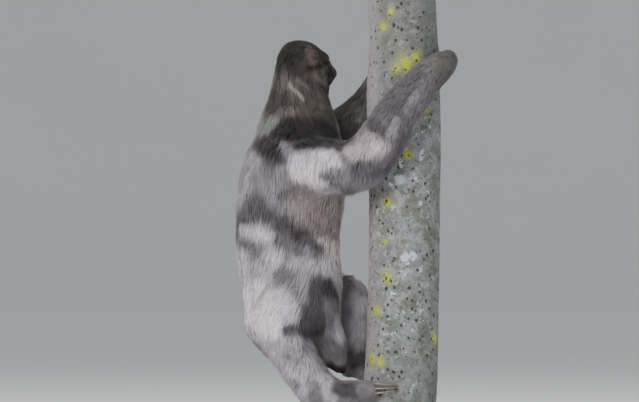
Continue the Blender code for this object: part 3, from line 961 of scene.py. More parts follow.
class Pelt:
    """The colour of the animal at any place: the same for skin and coat."""

    base: Colour = (0.228, 0.205, 0.22)

    def at(self, points: Array) -> Array:
        """Gives the coat's colour at each point.

        Args:
            points: (n, 3) places.

        Returns:
            (n, 4) colours.
        """
        wander = drift(points, 0.026) + 0.5 * drift(points, 0.009, 5.0)
        mottle = drift(points, 0.045, 9.0)[:, :1] * 0.5 + drift(points, 0.016, 13.0)[:, :1] * 0.5
        colour = np.tile(np.array(self.base), (len(points), 1)) * (1 + 0.5 * mottle)
        near = 1 - ease(-0.03, 0.005, points[:, 1])
        groups = ((OTHER_PATCHES, 1.0), (NEAR_PATCHES, near), (HEAD_PATCHES, 1.0), (WISPS, near))
        for patch, side in ((patch, side) for patches, side in groups for patch in patches):
            share = (patch.share(points, wander) * side)[:, None]
            colour = colour * (1 - share) + np.array(patch.colour) * (1 + 0.35 * mottle) * share
        return np.hstack((np.clip(colour, 0.004, 0.9), np.ones((len(points), 1))))


PELT_OF = Pelt()


# --- Shader maths ---


def arithmetic(operation: str, swapped: bool = False) -> Callable[["Sock", object], "Sock"]:
    """Makes one arithmetic method of a socket.

    Args:
        operation: The Math node's operation.
        swapped: Puts the other value first, as the reflected forms need.

    Returns:
        The method.
    """

    def method(self: "Sock", other: object) -> "Sock":
        """Works on the socket and another value."""
        return self.maths(operation, *((other, self) if swapped else (self, other)))

    return method


class Sock:
    """A socket that takes part in arithmetic."""

    def __init__(self, graph: "Graph", socket: bpy.types.NodeSocket) -> None:
        """Wraps one socket of a graph."""
        self.graph = graph
        self.socket = socket

    def maths(self, operation: str, *values: object, clamp: bool = False) -> "Sock":
        """Adds a Math node.

        Args:
            operation: Its operation.
            *values: Its inputs.
            clamp: Keeps the result in 0 to 1.

        Returns:
            Its result.
        """
        settings = {"operation": operation, "use_clamp": clamp}
        return self.graph.node("ShaderNodeMath", 0, dict(enumerate(values)), **settings)

    __add__ = arithmetic("ADD")
    __radd__ = arithmetic("ADD", swapped=True)
    __sub__ = arithmetic("SUBTRACT")
    __rsub__ = arithmetic("SUBTRACT", swapped=True)
    __mul__ = arithmetic("MULTIPLY")
    __rmul__ = arithmetic("MULTIPLY", swapped=True)
    __pow__ = arithmetic("POWER")
    maximum = arithmetic("MAXIMUM")

    def smooth(self, low: float, high: float) -> "Sock":
        """Rises smoothly from 0 at low to 1 at high."""
        values = {"Value": self, "From Min": low, "From Max": high}
        return self.graph.node("ShaderNodeMapRange", 0, values, interpolation_type="SMOOTHSTEP")

    def sine(self) -> "Sock":
        """The sine of the value."""
        return self.maths("SINE", self)

    def clamped(self) -> "Sock":
        """The value kept in 0 to 1."""
        return self.maths("ADD", self, 0.0, clamp=True)


class Graph:
    """Builds one material's nodes."""

    def __init__(self, name: str) -> None:
        """Starts a material.

        Args:
            name: Its name.
        """
        self.material = bpy.data.materials.new(name)
        self.material.use_nodes = True
        self.tree = self.material.node_tree
        self.shader = self.tree.nodes["Principled BSDF"]

    def feed(self, socket: bpy.types.NodeSocket, value: object) -> None:
        """Fills an input.

        Args:
            socket: The input.
            value: A socket to link, or the input's own value.
        """
        if isinstance(value, Sock):
            self.tree.links.new(value.socket, socket)
        elif isinstance(value, tuple) and len(value) == 3 and socket.type == "RGBA":
            socket.default_value = (*value, 1.0)
        else:
            socket.default_value = value

    def node(
        self,
        kind: str,
        output: int | str,
        inputs: Mapping[int | str, object],
        **settings: object,
    ) -> Sock:
        """Adds a node.

        Args:
            kind: Its type.
            output: Which of its outputs to give.
            inputs: What its inputs get.
            **settings: Its properties, which are set first.

        Returns:
            The output.
        """
        node = self.tree.nodes.new(kind)
        for key, value in settings.items():
            setattr(node, key, value)
        for name, value in inputs.items():
            self.feed(node.inputs[name], value)
        return Sock(self, node.outputs[output])

    def place(self) -> Sock:
        """The point in the model's own space, in metres."""
        return self.node("ShaderNodeTexCoord", "Object", {})

    def attribute(self, name: str, output: str = "Color") -> Sock:
        """Reads one of the piece's own attributes."""
        return self.node("ShaderNodeAttribute", output, {}, attribute_name=name)

    def split(self, vector: Sock) -> tuple[Sock, Sock, Sock]:
        """The three parts of a vector."""
        first = self.node("ShaderNodeSeparateXYZ", 0, {0: vector})
        return tuple(Sock(self, part) for part in first.socket.node.outputs)

    def grey(self, light: Sock) -> Sock:
        """A grey of this lightness."""
        return self.node("ShaderNodeCombineColor", 0, {"Red": light, "Green": light, "Blue": light})

    def vector(self, operation: str, *values: object, output: int | str = 0) -> Sock:
        """Works on vectors."""
        inputs = dict(enumerate(values))
        return self.node("ShaderNodeVectorMath", output, inputs, operation=operation)

    def stretch(self, vector: Sock, factors: Triple) -> Sock:
        """A vector scaled along each axis."""
        return self.vector("MULTIPLY", vector, factors)

    def distance(self, vector: Sock, centre: Triple) -> Sock:
        """Distance of a point from a centre."""
        return self.vector("DISTANCE", vector, centre, output="Value")

    def warp(self, vector: Sock, scale: float, amount: float) -> Sock:
        """Moves a point about by smooth noise.

        Args:
            vector: The point.
            scale: How fine the noise is.
            amount: How far it moves the point.

        Returns:
            The moved point.
        """
        cloud = self.node("ShaderNodeTexNoise", "Color", {"Vector": vector, "Scale": scale})
        centred = self.vector("SUBTRACT", cloud, (0.5,) * 3)
        return self.vector("MULTIPLY_ADD", centred, (amount,) * 3, vector)

    def noise(self, vector: Sock, scale: float, detail: float = 3.0, rough: float = 0.55) -> Sock:
        """Cloudy noise of about 0 to 1."""
        values = {"Vector": vector, "Scale": scale, "Detail": detail, "Roughness": rough}
        return self.node("ShaderNodeTexNoise", 0, values)

    def cells(self, vector: Sock, scale: float, output: str = "Distance") -> Sock:
        """Distance to, or colour of, the nearest random cell."""
        return self.node("ShaderNodeTexVoronoi", output, {"Vector": vector, "Scale": scale})

    def mix(self, share: object, first: object, second: object, blend: str = "MIX") -> Sock:
        """Mixes two colours."""
        inputs = {0: share, 6: first, 7: second}
        return self.node("ShaderNodeMix", 2, inputs, data_type="RGBA", blend_type=blend)

    def bump(self, height: Sock, strength: float, distance: float) -> None:
        """Gives the surface relief from a height."""
        inputs = {"Height": height, "Strength": strength, "Distance": distance}
        self.feed(self.shader.inputs["Normal"], self.node("ShaderNodeBump", 0, inputs))

    def surface(self, **inputs: object) -> Material:
        """Finishes the material.

        Args:
            **inputs: The shader's inputs, with _ for the spaces in their names.

        Returns:
            The material.
        """
        for name, value in inputs.items():
            self.feed(self.shader.inputs[name.replace("_", " ")], value)
        return self.material


# --- Finishes ---


class Finish:
    """The procedural materials."""

    @staticmethod
    def coat() -> Material:
        """Hair in locks: the marking's colour, darker at the root, and darker in the under-layer as
        painted shade inside the coat.

        Returns:
            The material.
        """
        g = Graph("coat_hair")
        along, lot, layer = g.split(g.attribute(STRAND, "Vector"))
        pelt = g.attribute(PELT)
        across = g.attribute(PELT, "Alpha")
        hairs = ((across * 21.0 + lot * 40.0).sine() * 0.5 + 0.5) * 0.08 + 0.95
        light = (along.smooth(0.0, 0.6) * 0.16 + 0.86) * (lot * 0.2 + 0.9)
        # Tufts whose tips lie low in the coat come out a little darker: painted shade inside the
        # coat
        light = light * (layer * 0.12 + 0.93) * hairs
        shaded = g.mix(1.0, pelt, g.grey(light), "MULTIPLY")
        cloud = g.noise(g.place(), 160.0, 2.0)
        dim = g.mix(1.0, shaded, (0.62, 0.58, 0.56), "MULTIPLY")
        colour = g.mix(cloud.smooth(0.3, 0.8) * 0.3, shaded, dim)
        values = {"Roughness": 0.88, "Specular_IOR_Level": 0.1, "Sheen_Weight": 0.05}
        return g.surface(Base_Color=colour, **values)

    @staticmethod
    def skin() -> Material:
        """The under-coat: the same markings, darker, with the grain of short hair.

        Returns:
            The material.
        """
        g = Graph("sloth_underfur")
        at = g.place()
        pelt = g.attribute(PELT)
        grain = g.noise(g.stretch(at, (1.0, 1.0, 0.35)), 900.0, 3.0, 0.6)
        cloud = g.noise(at, 120.0, 3.0)
        bare = g.attribute("bare", "Fac")
        dim = (0.66 + cloud * 0.24 + grain * 0.16) + bare * 0.08
        under = g.mix(1.0, pelt, g.grey(dim), "MULTIPLY")
        g.bump(grain * 0.7 + cloud * 0.3, 0.5, 0.0006)
        return g.surface(Base_Color=under, Roughness=0.85, Specular_IOR_Level=0.18)

    @staticmethod
    def eye(centre: Triple, gaze: Triple) -> Material:
        """A dark brown eye with a darker pupil, wet on top.

        Args:
            centre: The eyeball's middle.
            gaze: The direction it looks in.

        Returns:
            The material.
        """
        g = Graph("sloth_eye")
        at = g.place()
        front = tuple(c + HEAD.eye_radius * d for c, d in zip(centre, gaze))
        far = g.distance(at, front)
        streaks = g.noise(g.warp(at, 300.0, 0.002), 1400.0, 4.0, 0.7)
        iris = g.mix(streaks, (0.016, 0.008, 0.004), (0.05, 0.026, 0.012))
        ringed = g.mix(far.smooth(0.0018, 0.0023), (0.003, 0.002, 0.002), iris)
        whole = g.mix(far.smooth(0.0046, 0.0054), ringed, (0.03, 0.018, 0.014))
        return g.surface(Base_Color=whole, Roughness=0.08, Specular_IOR_Level=0.3, Coat_Weight=0.45)

    @staticmethod
    def nose() -> Material:
        """Bare, dark, finely pebbled skin.

        Returns:
            The material.
        """
        g = Graph("sloth_nose")
        at = g.place()
        pebble = g.cells(at, 1500.0)
        cloud = g.noise(at, 260.0, 3.0)
        g.bump(pebble, 0.35, 0.0003)
        colour = g.mix(cloud, (0.009, 0.007, 0.007), (0.028, 0.02, 0.018))
        return g.surface(Base_Color=colour, Roughness=cloud * 0.25 + 0.34)

    @staticmethod
    def claw() -> Material:
        """Horn: tan, paler at the tip, with a painted highlight as a paler band along the ridge,
        and fine lengthwise streaks.

        Returns:
            The material.
        """
        g = Graph("claw_horn")
        along, ridge, turn = g.split(g.attribute(STRAND, "Vector"))
        at = g.place()
        cloud = g.noise(at, 220.0, 4.0, 0.6)
        streak = ((turn * 46.0 + cloud * 3.0).sine() * 0.5 + 0.5) * 0.5 + cloud * 0.5
        horn = g.mix(streak, (0.07, 0.057, 0.041), (0.15, 0.129, 0.098))
        # A paler band along the claw's top ridge: a painted highlight
        ridged = g.mix(ridge * 0.45, horn, (0.26, 0.231, 0.182))
        root = g.mix(along.smooth(0.3, 0.02) * 0.7, ridged, (0.05, 0.04, 0.033))
        tip = g.mix(along.smooth(0.6, 1.0) * 0.6, root, (0.14, 0.118, 0.066))
        g.bump(streak, 0.25, 0.0002)
        return g.surface(Base_Color=tip, Roughness=cloud * 0.2 + 0.28, Coat_Weight=0.15)

    @staticmethod
    def bark() -> Material:
        """Smooth grey bark under pale crusts, dark pores and yellow-green lichen.

        Returns:
            The material.
        """
        g = Graph("perch_bark")
        at = g.place()
        bed = g.warp(at, 45.0, 0.012)
        fine = g.noise(at, 420.0, 5.0, 0.7)
        tone = g.noise(bed, 21.0, 5.0, 0.6)
        pale = g.noise(g.warp(bed, 90.0, 0.006), 47.0, 4.0, 0.6)
        crust = g.noise(g.warp(bed, 120.0, 0.006), 74.0, 5.0, 0.65)
        base = g.mix(tone.smooth(0.34, 0.62), (0.12, 0.126, 0.096), (0.2, 0.21, 0.215))
        base = g.mix(pale.smooth(0.47, 0.6) * 0.85, base, (0.29, 0.285, 0.3))
        base = g.mix(g.noise(bed, 33.0, 4.0).smooth(0.54, 0.64) * 0.7, base, (0.12, 0.13, 0.092))
        base = g.mix(crust.smooth(0.54, 0.62) * 0.5, base, (0.36, 0.37, 0.39))
        base = g.mix(g.noise(bed, 58.0, 5.0, 0.62).smooth(0.6, 0.66) * 0.8, base, (0.55, 0.57, 0.6))
        for x, z, size in CHALK:
            far = g.distance(g.warp(at, 170.0, 0.009), (x, -0.062, z))
            white = far.smooth(size * 1.2, size * 0.7)
            base = g.mix(white * 0.8, base, (0.6, 0.62, 0.66))
        height = g.split(at)[2]
        base = g.mix(height.smooth(0.64, 0.78) * 0.7, base, (0.13, 0.13, 0.12))
        base = g.mix(height.smooth(0.36, 0.22) * 0.4, base, (0.13, 0.135, 0.13))
        # Across the trunk: the lighter pinkish left side is painted light, the darker right side is
        # painted shade
        side = (g.split(at)[0] - PERCH.x) * (1.0 / PERCH.radius)
        base = g.mix(side.smooth(-0.5, -1.0) * 0.6, base, (0.4, 0.36, 0.37))
        base = g.mix(side.smooth(-0.3, 1.1) * 0.5, base, (0.1, 0.11, 0.1))
        place = g.warp(at, 150.0, 0.009)
        spots, halos = [], []
        for *centre, size in LICHENS:
            far = g.distance(place, tuple(centre))
            spots.append(far.smooth(size * 1.3, size * 0.5))
            halos.append(far.smooth(size * 2.8, size))
        moss, halo = reduce(Sock.maximum, spots), reduce(Sock.maximum, halos)
        base = g.mix(halo * 0.6, base, (0.29, 0.3, 0.13))
        lichen = g.mix(fine, (0.33, 0.38, 0.02), (0.47, 0.52, 0.07))
        base = g.mix((moss * (fine.smooth(0.3, 0.6) * 0.4 + 0.6)).clamped(), base, lichen)
        holes = []
        for scale, most, full in ((76.0, 0.3, 1.0), (108.0, 0.27, 0.7)):
            pore_bed = g.warp(g.stretch(at, (1.0, 1.0, 0.85)), scale * 0.9, 0.006)
            size = g.split(g.cells(pore_bed, scale, "Color"))[0]
            far = g.cells(pore_bed, scale) + size * 0.07
            holes.append(far.smooth(most, most * 0.45) * full)
        pore = reduce(Sock.maximum, holes)
        colour = g.mix(pore * 0.9, base, (0.022, 0.025, 0.021))
        dark = g.mix(1.0, colour, (0.66, 0.66, 0.66), "MULTIPLY")
        shade = g.mix(fine.smooth(0.3, 0.7), dark, colour)
        relief = crust * 0.7 + fine * 0.5 - pore * 1.1 + moss * 0.4
        g.bump(relief, 0.75, 0.0013)
        return g.surface(Base_Color=shade, Roughness=fine * 0.16 + 0.78, Specular_IOR_Level=0.22)

    @staticmethod
    def end_grain() -> Material:
        """Sawn wood with growth rings, cracks and a dark rim of bark.

        Returns:
            The material.
        """
        g = Graph("perch_end_grain")
        at = g.place()
        x, y, _ = g.split(g.warp(at, 16.0, 0.006))
        middle = PERCH.centre(PERCH.top).x
        out = ((x - middle) ** 2.0 + y * y) ** 0.5
        rings = (out * 1500.0 + g.noise(at, 60.0) * 2.5).sine() * 0.5 + 0.5
        pith = out.smooth(0.03, 0.002)
        wood = g.mix(rings, (0.34, 0.24, 0.14), (0.56, 0.44, 0.29))
        wood = g.mix(pith * 0.5, wood, (0.24, 0.15, 0.08))
        rim = out.smooth(0.0575, 0.0605)
        colour = g.mix(rim, wood, (0.07, 0.06, 0.045))
        saw = g.noise(g.stretch(at, (1.0, 14.0, 1.0)), 90.0, 2.0)
        g.bump(rings * 0.5 + saw * 0.5, 0.4, 0.0004)
        return g.surface(Base_Color=colour, Roughness=0.78)

    @staticmethod
    def wood() -> Material:
        """Dark stained, satin-lacquered board with long grain.

        Returns:
            The material.
        """
        g = Graph("stand_board")
        at = g.place()
        bent = g.warp(g.stretch(at, (1.0, 7.0, 7.0)), 3.0, 0.12)
        grain = g.noise(g.stretch(bent, (1.0, 6.0, 6.0)), 9.0, 6.0, 0.65)
        pores = g.noise(g.stretch(at, (12.0, 260.0, 260.0)), 4.0, 3.0, 0.6)
        stain = g.mix(grain.smooth(0.3, 0.7), (0.02, 0.012, 0.008), (0.085, 0.05, 0.03))
        colour = g.mix(pores.smooth(0.62, 0.7) * 0.6, stain, (0.008, 0.006, 0.005))
        g.bump(grain * 0.4 + pores * 0.6, 0.12, 0.0003)
        return g.surface(Base_Color=colour, Roughness=grain * 0.14 + 0.28, Coat_Weight=0.3)

    @staticmethod
    def steel() -> Material:
        """Steel rod, brushed round.

        Returns:
            The material.
        """
        g = Graph("stand_steel")
        at = g.place()
        brushed = g.noise(g.stretch(at, (3.0, 3.0, 900.0)), 6.0, 3.0, 0.6)
        g.bump(brushed, 0.12, 0.0001)
        colour = g.mix(brushed, (0.42, 0.42, 0.43), (0.6, 0.6, 0.61))
        return g.surface(Base_Color=colour, Metallic=1.0, Roughness=brushed * 0.16 + 0.26)

    @staticmethod
    def floor() -> Material:
        """Plain pale studio floor.

        Returns:
            The material.
        """
        g = Graph("studio_floor")
        cloud = g.noise(g.place(), 0.8, 2.0)
        colour = g.mix(cloud, (0.8, 0.8, 0.79), (0.83, 0.83, 0.82))
        return g.surface(Base_Color=colour, Roughness=0.85)


# White crusts on the bark's near side: x, z, size, in millimetres
CHALK: tuple[Triple, ...] = tuple(map(metres, (
    (86, 421, 8.5), (100, 423, 8.5), (76, 556, 9.5), (58, 470, 6), (60, 545, 6),
)))
# Lichen spots on the bark: x, y, z, size, in millimetres
LICHENS: tuple[tuple[float, ...], ...] = tuple(map(metres, (
    (56, -56, 516, 7.5), (56, -56, 386, 8.5), (50, -53, 448, 4.5), (88, -64, 758, 11),
    (72, -62, 750, 7), (104, -60, 768, 8), (92, -64, 740, 6), (49, -50, 822, 7),
    (62, -60, 848, 5), (30, -36, 244, 9), (44, -50, 240, 8), (36, -43, 328, 8), (90, -64, 600, 6),
    (120, -53, 680, 7), (135, 40, 600, 10), (120, 52, 450, 9), (60, 56, 300, 11),
    (100, 60, 720, 9), (150, 0, 520, 9), (148, 12, 360, 12), (30, 30, 600, 8), (140, -30, 280, 8),
)))


# --- Skin ---


# The corner of the mouth runs up and back, which gives a sloth its smile
MOUTH: tuple[Triple, ...] = (
    (0.0595, 0.0, -0.0222),
    (0.057, 0.0062, -0.0226),
    (0.0505, 0.0125, -0.0215),
    (0.042, 0.018, -0.0182),
    (0.034, 0.0235, -0.0125),
)


def eye_frame(side: int) -> tuple[Array, Array, Array, Array]:
    """Gives one eye's middle and its directions across, up and out, in the head's frame.

    Args:
        side: 1 for the left eye, -1 for the right one.

    Returns:
        The middle, and three unit vectors at right angles.
    """
    centre = np.array(beside(HEAD.eye, side))
    out = np.array((math.cos(HEAD.eye_turn), side * math.sin(HEAD.eye_turn), 0.08))
    out /= np.linalg.norm(out)
    back = np.array((-out[1] * side, out[0] * side, -0.2))
    back -= out * (back @ out)
    across = back / np.linalg.norm(back)
    up = np.cross(out, across)
    return centre, across, up * np.sign(up[2]), out


Field = tuple[Array, Array]


class FaceForm:
    """The face's forms as one smooth field: below 0 inside, 0 at the skin.

    The forms are ellipsoids, each with its middle and half sizes in millimetres.
    """

    forms: tuple[tuple[Triple, Triple], ...] = (
        ((-6, 0, 5), (39.5, 41, 41)),
        ((4, 0, -12), (36.5, 40.5, 34.5)),
        ((24, 0, -4), (20.5, 29, 26.5)),
        ((41.5, 0, -13.5), (16.5, 16.5, 13.5)),
        ((34.5, 0, -26.5), (16.5, 14.5, 9.5)),
        ((0, 0, -40), (36, 36, 30)),
        ((40, 0, 3.5), (12, 8.5, 12)),
    )
    paired: tuple[tuple[Triple, Triple], ...] = (
        ((47.5, 6.8, -16.5), (10.5, 8.5, 7.8)),
        ((31, 17.5, 15.5), (11.5, 10.5, 6)),
        ((29, 22.5, -6), (12.5, 10.5, 9.5)),
    )
    blend: float = 0.0032
    lid: float = 0.0009
    lid_blend: float = 0.0016
    socket: float = 0.0022
    socket_radius: float = 0.0072
    socket_ahead: float = 0.0065

    def _ball(self, spots: Array, centre: Triple, radii: Triple) -> Field:
        """Measures one ellipsoid.

        Args:
            spots: Places in the head's frame.
            centre: Its middle.
            radii: Its half sizes.

        Returns:
            The distance and the slope at each place.
        """
        gap = (spots - np.array(centre)) / np.array(radii)
        far = np.maximum(np.linalg.norm(gap, axis=1), 1e-6)
        slope = gap / far[:, None] / np.array(radii)
        steep = np.linalg.norm(slope, axis=1)
        return (far - 1) / steep, slope / steep[:, None]

    def measure(self, spots: Array) -> Field:
        """Measures the whole face.

        Args:
            spots: Places in the head's frame.

        Returns:
            The field and its slope at each place.
        """
        shapes = [self._ball(spots, *map(metres, form)) for form in self.forms]
        for place, radii in (map(metres, form) for form in self.paired):
            shapes += [self._ball(spots, beside(place, side), radii) for side in (1, -1)]
        height, slope = self._melt(shapes, self.blend)
        lids = []
        for side in (1, -1):
            centre, _, _, out = eye_frame(side)
            hollow = centre + out * (HEAD.eye_radius + self.socket_ahead)
            dip = self._ball(spots, tuple(hollow), (self.socket_radius,) * 3)
            height, slope = self._melt([(-height, -slope), dip], self.socket)
            height, slope = -height, -slope
            lids.append(self._ball(spots, tuple(centre), (HEAD.eye_radius + self.lid,) * 3))
        return self._melt([(height, slope), *lids], self.lid_blend)

    @staticmethod
    def _melt(shapes: Sequence[Field], blend: float) -> Field:
        """Joins fields into one with soft creases.

        Args:
            shapes: Each field's values and slopes.
            blend: How wide the creases are.

        Returns:
            The joined values and slopes.
        """
        values = np.stack([height for height, _ in shapes])
        slopes = np.stack([slope for _, slope in shapes])
        least = values.min(axis=0)
        shares = np.exp(-(values - least) / blend)
        total = shares.sum(axis=0)
        joined = (slopes * (shares / total)[..., None]).sum(axis=0)
        return least - blend * np.log(total), joined


@dataclass
class SkinShape:
    """One skin under the whole coat, with the face modelled on it."""

    nodes: Mapping[str, Object]
    overlap: float = 0.0011
    first_voxel: float = 0.0036
    voxel: float = 0.0032
    steps: int = 4
    perch_gap: float = 0.0022
    muzzle: Triple = (0.048, 0.0, -0.014)
    face_turns: int = 6
    face_pull: float = 0.8
    opening: tuple[float, float] = (0.0045, 0.003)
    lid_bow: float = 0.0006
    lid_rise: float = 0.00045
    lid_crease: float = 0.0005
    eye_depth: float = 0.78
    mouth_heart: Triple = (0.012, 0.0, -0.014)

    def build(self) -> Object:
        """Fuses the flesh, draws it in by the coat's depth and models the face.

        Returns:
            The skin.
        """
        filled = (*FLESH, "left_eye", "right_eye", "nose")
        copies = [Bench.new(f"flesh_{name}", self.nodes[name].data.copy()) for name in filled]
        skin = Bench.join(copies, "sloth_skin")
        Bench.modify(skin, "DISPLACE", strength=self.overlap, mid_level=0.0)
        Bench.modify(skin, "REMESH", mode="VOXEL", voxel_size=self.first_voxel)
        Bench.modify(skin, "SMOOTH", factor=0.6, iterations=10)
        self._draw_in(skin)
        Bench.modify(skin, "REMESH", mode="VOXEL", voxel_size=self.voxel)
        Bench.modify(skin, "SMOOTH", factor=0.5, iterations=5)
        self._clear_perch(skin)
        self._refine_face(skin)
        self._model_face(skin)
        Bench.dress(skin, Finish.skin())
        points = points_of(skin.data)
        write_attribute(skin.data, PELT, "FLOAT_COLOR", PELT_OF.at(points))
        bare = 1 - ease(0.002, 0.008, GROOMING.at(points)[2])
        write_attribute(skin.data, "bare", "FLOAT", bare)
        return skin

    def _draw_in(self, skin: Object) -> None:
        """Moves the skin in by the coat's depth, and by the overlap that closed the part lines.

        Args:
            skin: The skin.
        """
        depth = GROOMING.at(points_of(skin.data))[2] + self.overlap
        most = float(depth.max())
        group = skin.vertex_groups.new(name="depth")
        percents = np.round(depth / most * 100).astype(int)
        for percent in range(101):
            chosen = np.nonzero(percents == percent)[0]
            if len(chosen):
                group.add(chosen.tolist(), percent / 100, "REPLACE")
        step = {"strength": -most / self.steps, "mid_level": 0.0, "vertex_group": "depth"}
        for _ in range(self.steps):
            Bench.modify(skin, "DISPLACE", **step)
            Bench.modify(skin, "SMOOTH", factor=0.4, iterations=2)
        skin.vertex_groups.clear()

    def _clear_perch(self, skin: Object) -> None:
        """Keeps the skin outside the trunk.

        Args:
            skin: The skin.
        """
        points = points_of(skin.data)
        axis = np.array([PERCH.centre(z) for z in points[:, 2]])
        away = (points - axis) * np.array((1.0, 1.0, 0.0))
        gap = np.linalg.norm(away, axis=1)
        least = PERCH.radius + self.perch_gap
        near = gap < least
        points[near] = axis[near] + away[near] / gap[near, None] * least
        set_points(skin.data, points)

    def _refine_face(self, skin: Object) -> None:
        """Divides the faces of the face, and again those round the eyes, nose and mouth.

        Args:
            skin: The skin.
        """
        eyes = [beside(HEAD.eye, side) for side in (1, -1)]
        rounds = (
            (0.019, ((self.muzzle, 0.027), ((0.04, 0.0, -0.002), 0.03))),
            (0.0125, ((self.muzzle, 0.023),)),
            (0.0088, (((0.058, 0.0, -0.016), 0.013),)),
        )
        for eye_reach, others in rounds:
            local = HEAD.inward(points_of(skin.data))
            inside = np.zeros(len(local), bool)
            for centre, radius in (*((eye, eye_reach) for eye in eyes), *others):
                inside |= np.linalg.norm(local - np.array(centre), axis=1) < radius
            Bench.pick_points(skin.data, inside)
            with Bench.editing():
                bpy.ops.mesh.select_mode(type="FACE")
                bpy.ops.mesh.subdivide(number_cuts=1, smoothness=0.0, quadcorner="INNERVERT")

    def _model_face(self, skin: Object) -> None:
        """Models the face: its forms first, then the eyelids' openings and the line of the mouth.

        Args:
            skin: The skin.
        """
        mesh = skin.data
        local = HEAD.inward(points_of(mesh))
        share = ease(0.012, 0.03, local[:, 0]) * ease(-0.05, -0.036, local[:, 2])
        share *= np.linalg.norm(local, axis=1) < 0.09
        chosen = np.nonzero(share > 0.001)[0]
        face = FaceForm()
        for _ in range(self.face_turns):
            spots = local[chosen]
            height, slope = face.measure(spots)
            steep = np.maximum(np.sum(slope * slope, axis=1), 0.2)
            pull = height / steep * share[chosen] * self.face_pull
            local[chosen] = spots - slope * pull[:, None]
        set_points(mesh, HEAD.outward(local))
        group = skin.vertex_groups.new(name="face")
        group.add(chosen.tolist(), 1.0, "REPLACE")
        Bench.modify(skin, "SMOOTH", factor=0.35, iterations=3, vertex_group="face")
        skin.vertex_groups.clear()
        local = HEAD.inward(points_of(mesh))
        for side in (1, -1):
            self._open_lids(local, side)
        self._mouth(local)
        set_points(mesh, HEAD.outward(local))

    def _open_lids(self, local: Array, side: int) -> None:
        """Opens one eye between its lids, in place.

        Args:
            local: The skin's points in the head's frame.
            side: 1 for the left eye, -1 for the right one.
        """
        centre, across, up, out = eye_frame(side)
        gap = local - centre
        far = np.linalg.norm(gap, axis=1)
        wide, high, ahead = gap @ across, gap @ up, gap @ out
        half_wide, half_high = self.opening
        bow = self.lid_bow * (1 - (wide / half_wide) ** 2)
        opening = (wide / half_wide) ** 2 + ((high - bow) / half_high) ** 2
        near = (far < HEAD.eye_radius * 2.2) & (ahead > -0.0005)
        sunk = near & (opening < 1.0)
        ray = gap / np.maximum(far, 1e-6)[:, None]
        local[sunk] = centre + ray[sunk] * (HEAD.eye_radius * self.eye_depth)
        rim = near & ~sunk
        rise = np.exp(-(((opening - 1.35) / 0.5) ** 2)) * self.lid_rise
        crease = np.exp(-(((opening - 4.6) / 1.3) ** 2)) * -self.lid_crease
        local[rim] += ray[rim] * (rise + crease)[rim, None]

    def _mouth(self, local: Array) -> None:
        """Presses the line of the mouth in, and the seam below the nose, in place.

        Args:
            local: The skin's points in the head's frame.
        """
        for side in (1, -1):
            knots = [beside(knot, side) for knot in MOUTH]
            for start, end in zip(knots, knots[1:]):
                self._press(local, start, end, 0.0013, 0.0012)
        self._press(local, (0.061, 0.0, -0.0165), (0.0595, 0.0, -0.0225), 0.0006, 0.0006)

    def _press(
        self, local: Array, start: Triple, end: Triple, width: float, depth: float
    ) -> None:
        """Presses a groove along one straight stretch, in place.

        Args:
            local: The skin's points in the head's frame.
            start: Where it starts.
            end: Where it ends.
            width: How wide it is.
            depth: How deep it is.
        """
        run = np.array(end) - np.array(start)
        along = np.clip(((local - start) @ run) / (run @ run), 0, 1)
        gap = local - (start + along[:, None] * run)
        inward = unit(np.array(self.mouth_heart) - local)
        flat = gap - inward * np.sum(gap * inward, axis=1, keepdims=True)
        near = np.linalg.norm(gap, axis=1) < 0.008
        share = np.exp(-((np.linalg.norm(flat, axis=1) / width) ** 2)) * near
        local += inward * (depth * share)[:, None]


# --- Coat ---


@dataclass(frozen=True)
class CoatSettings:
    """How dense, how free and how gathered the coat is."""

    budget: int = 1_400_000
    piece_limit: int = 190_000
    rings: int = 2
    layers: tuple[float, float] = (5.0, 8.0)
    densest: float = 2_600_000.0
    sway: float = 0.13
    lengths: tuple[float, float] = (0.6, 0.58)
    rises: tuple[float, float] = (0.3, 0.72)
    sink: float = 0.0008
    fall: float = 0.55
    clump_spacing: float = 30.0
    clump_reach: float = 0.014
    tilt: float = 0.45
    widths: tuple[float, float] = (0.6, 0.8)
    thick: float = 0.42
    soft: float = 0.45
    patch: float = 0.003
    seen_at: float = 0.6
    follow: float = 0.6

    @property
    def faces_each(self) -> int:
        """Triangles in one tuft."""
        return 6 * (self.rings - 1) + 4


@dataclass
class Tufts:
    """Where tufts leave the skin, how they run and how they look, one row a tuft."""

    roots: Array
    maps: Array
    paths: Array
    ups: Array
    width: Array
    depth: Array
    lots: Array
    pelt: Array

    def only(self, rows: Array) -> "Tufts":
        """Gives just some of the tufts."""
        return Tufts(*(getattr(self, field.name)[rows] for field in fields(self)))


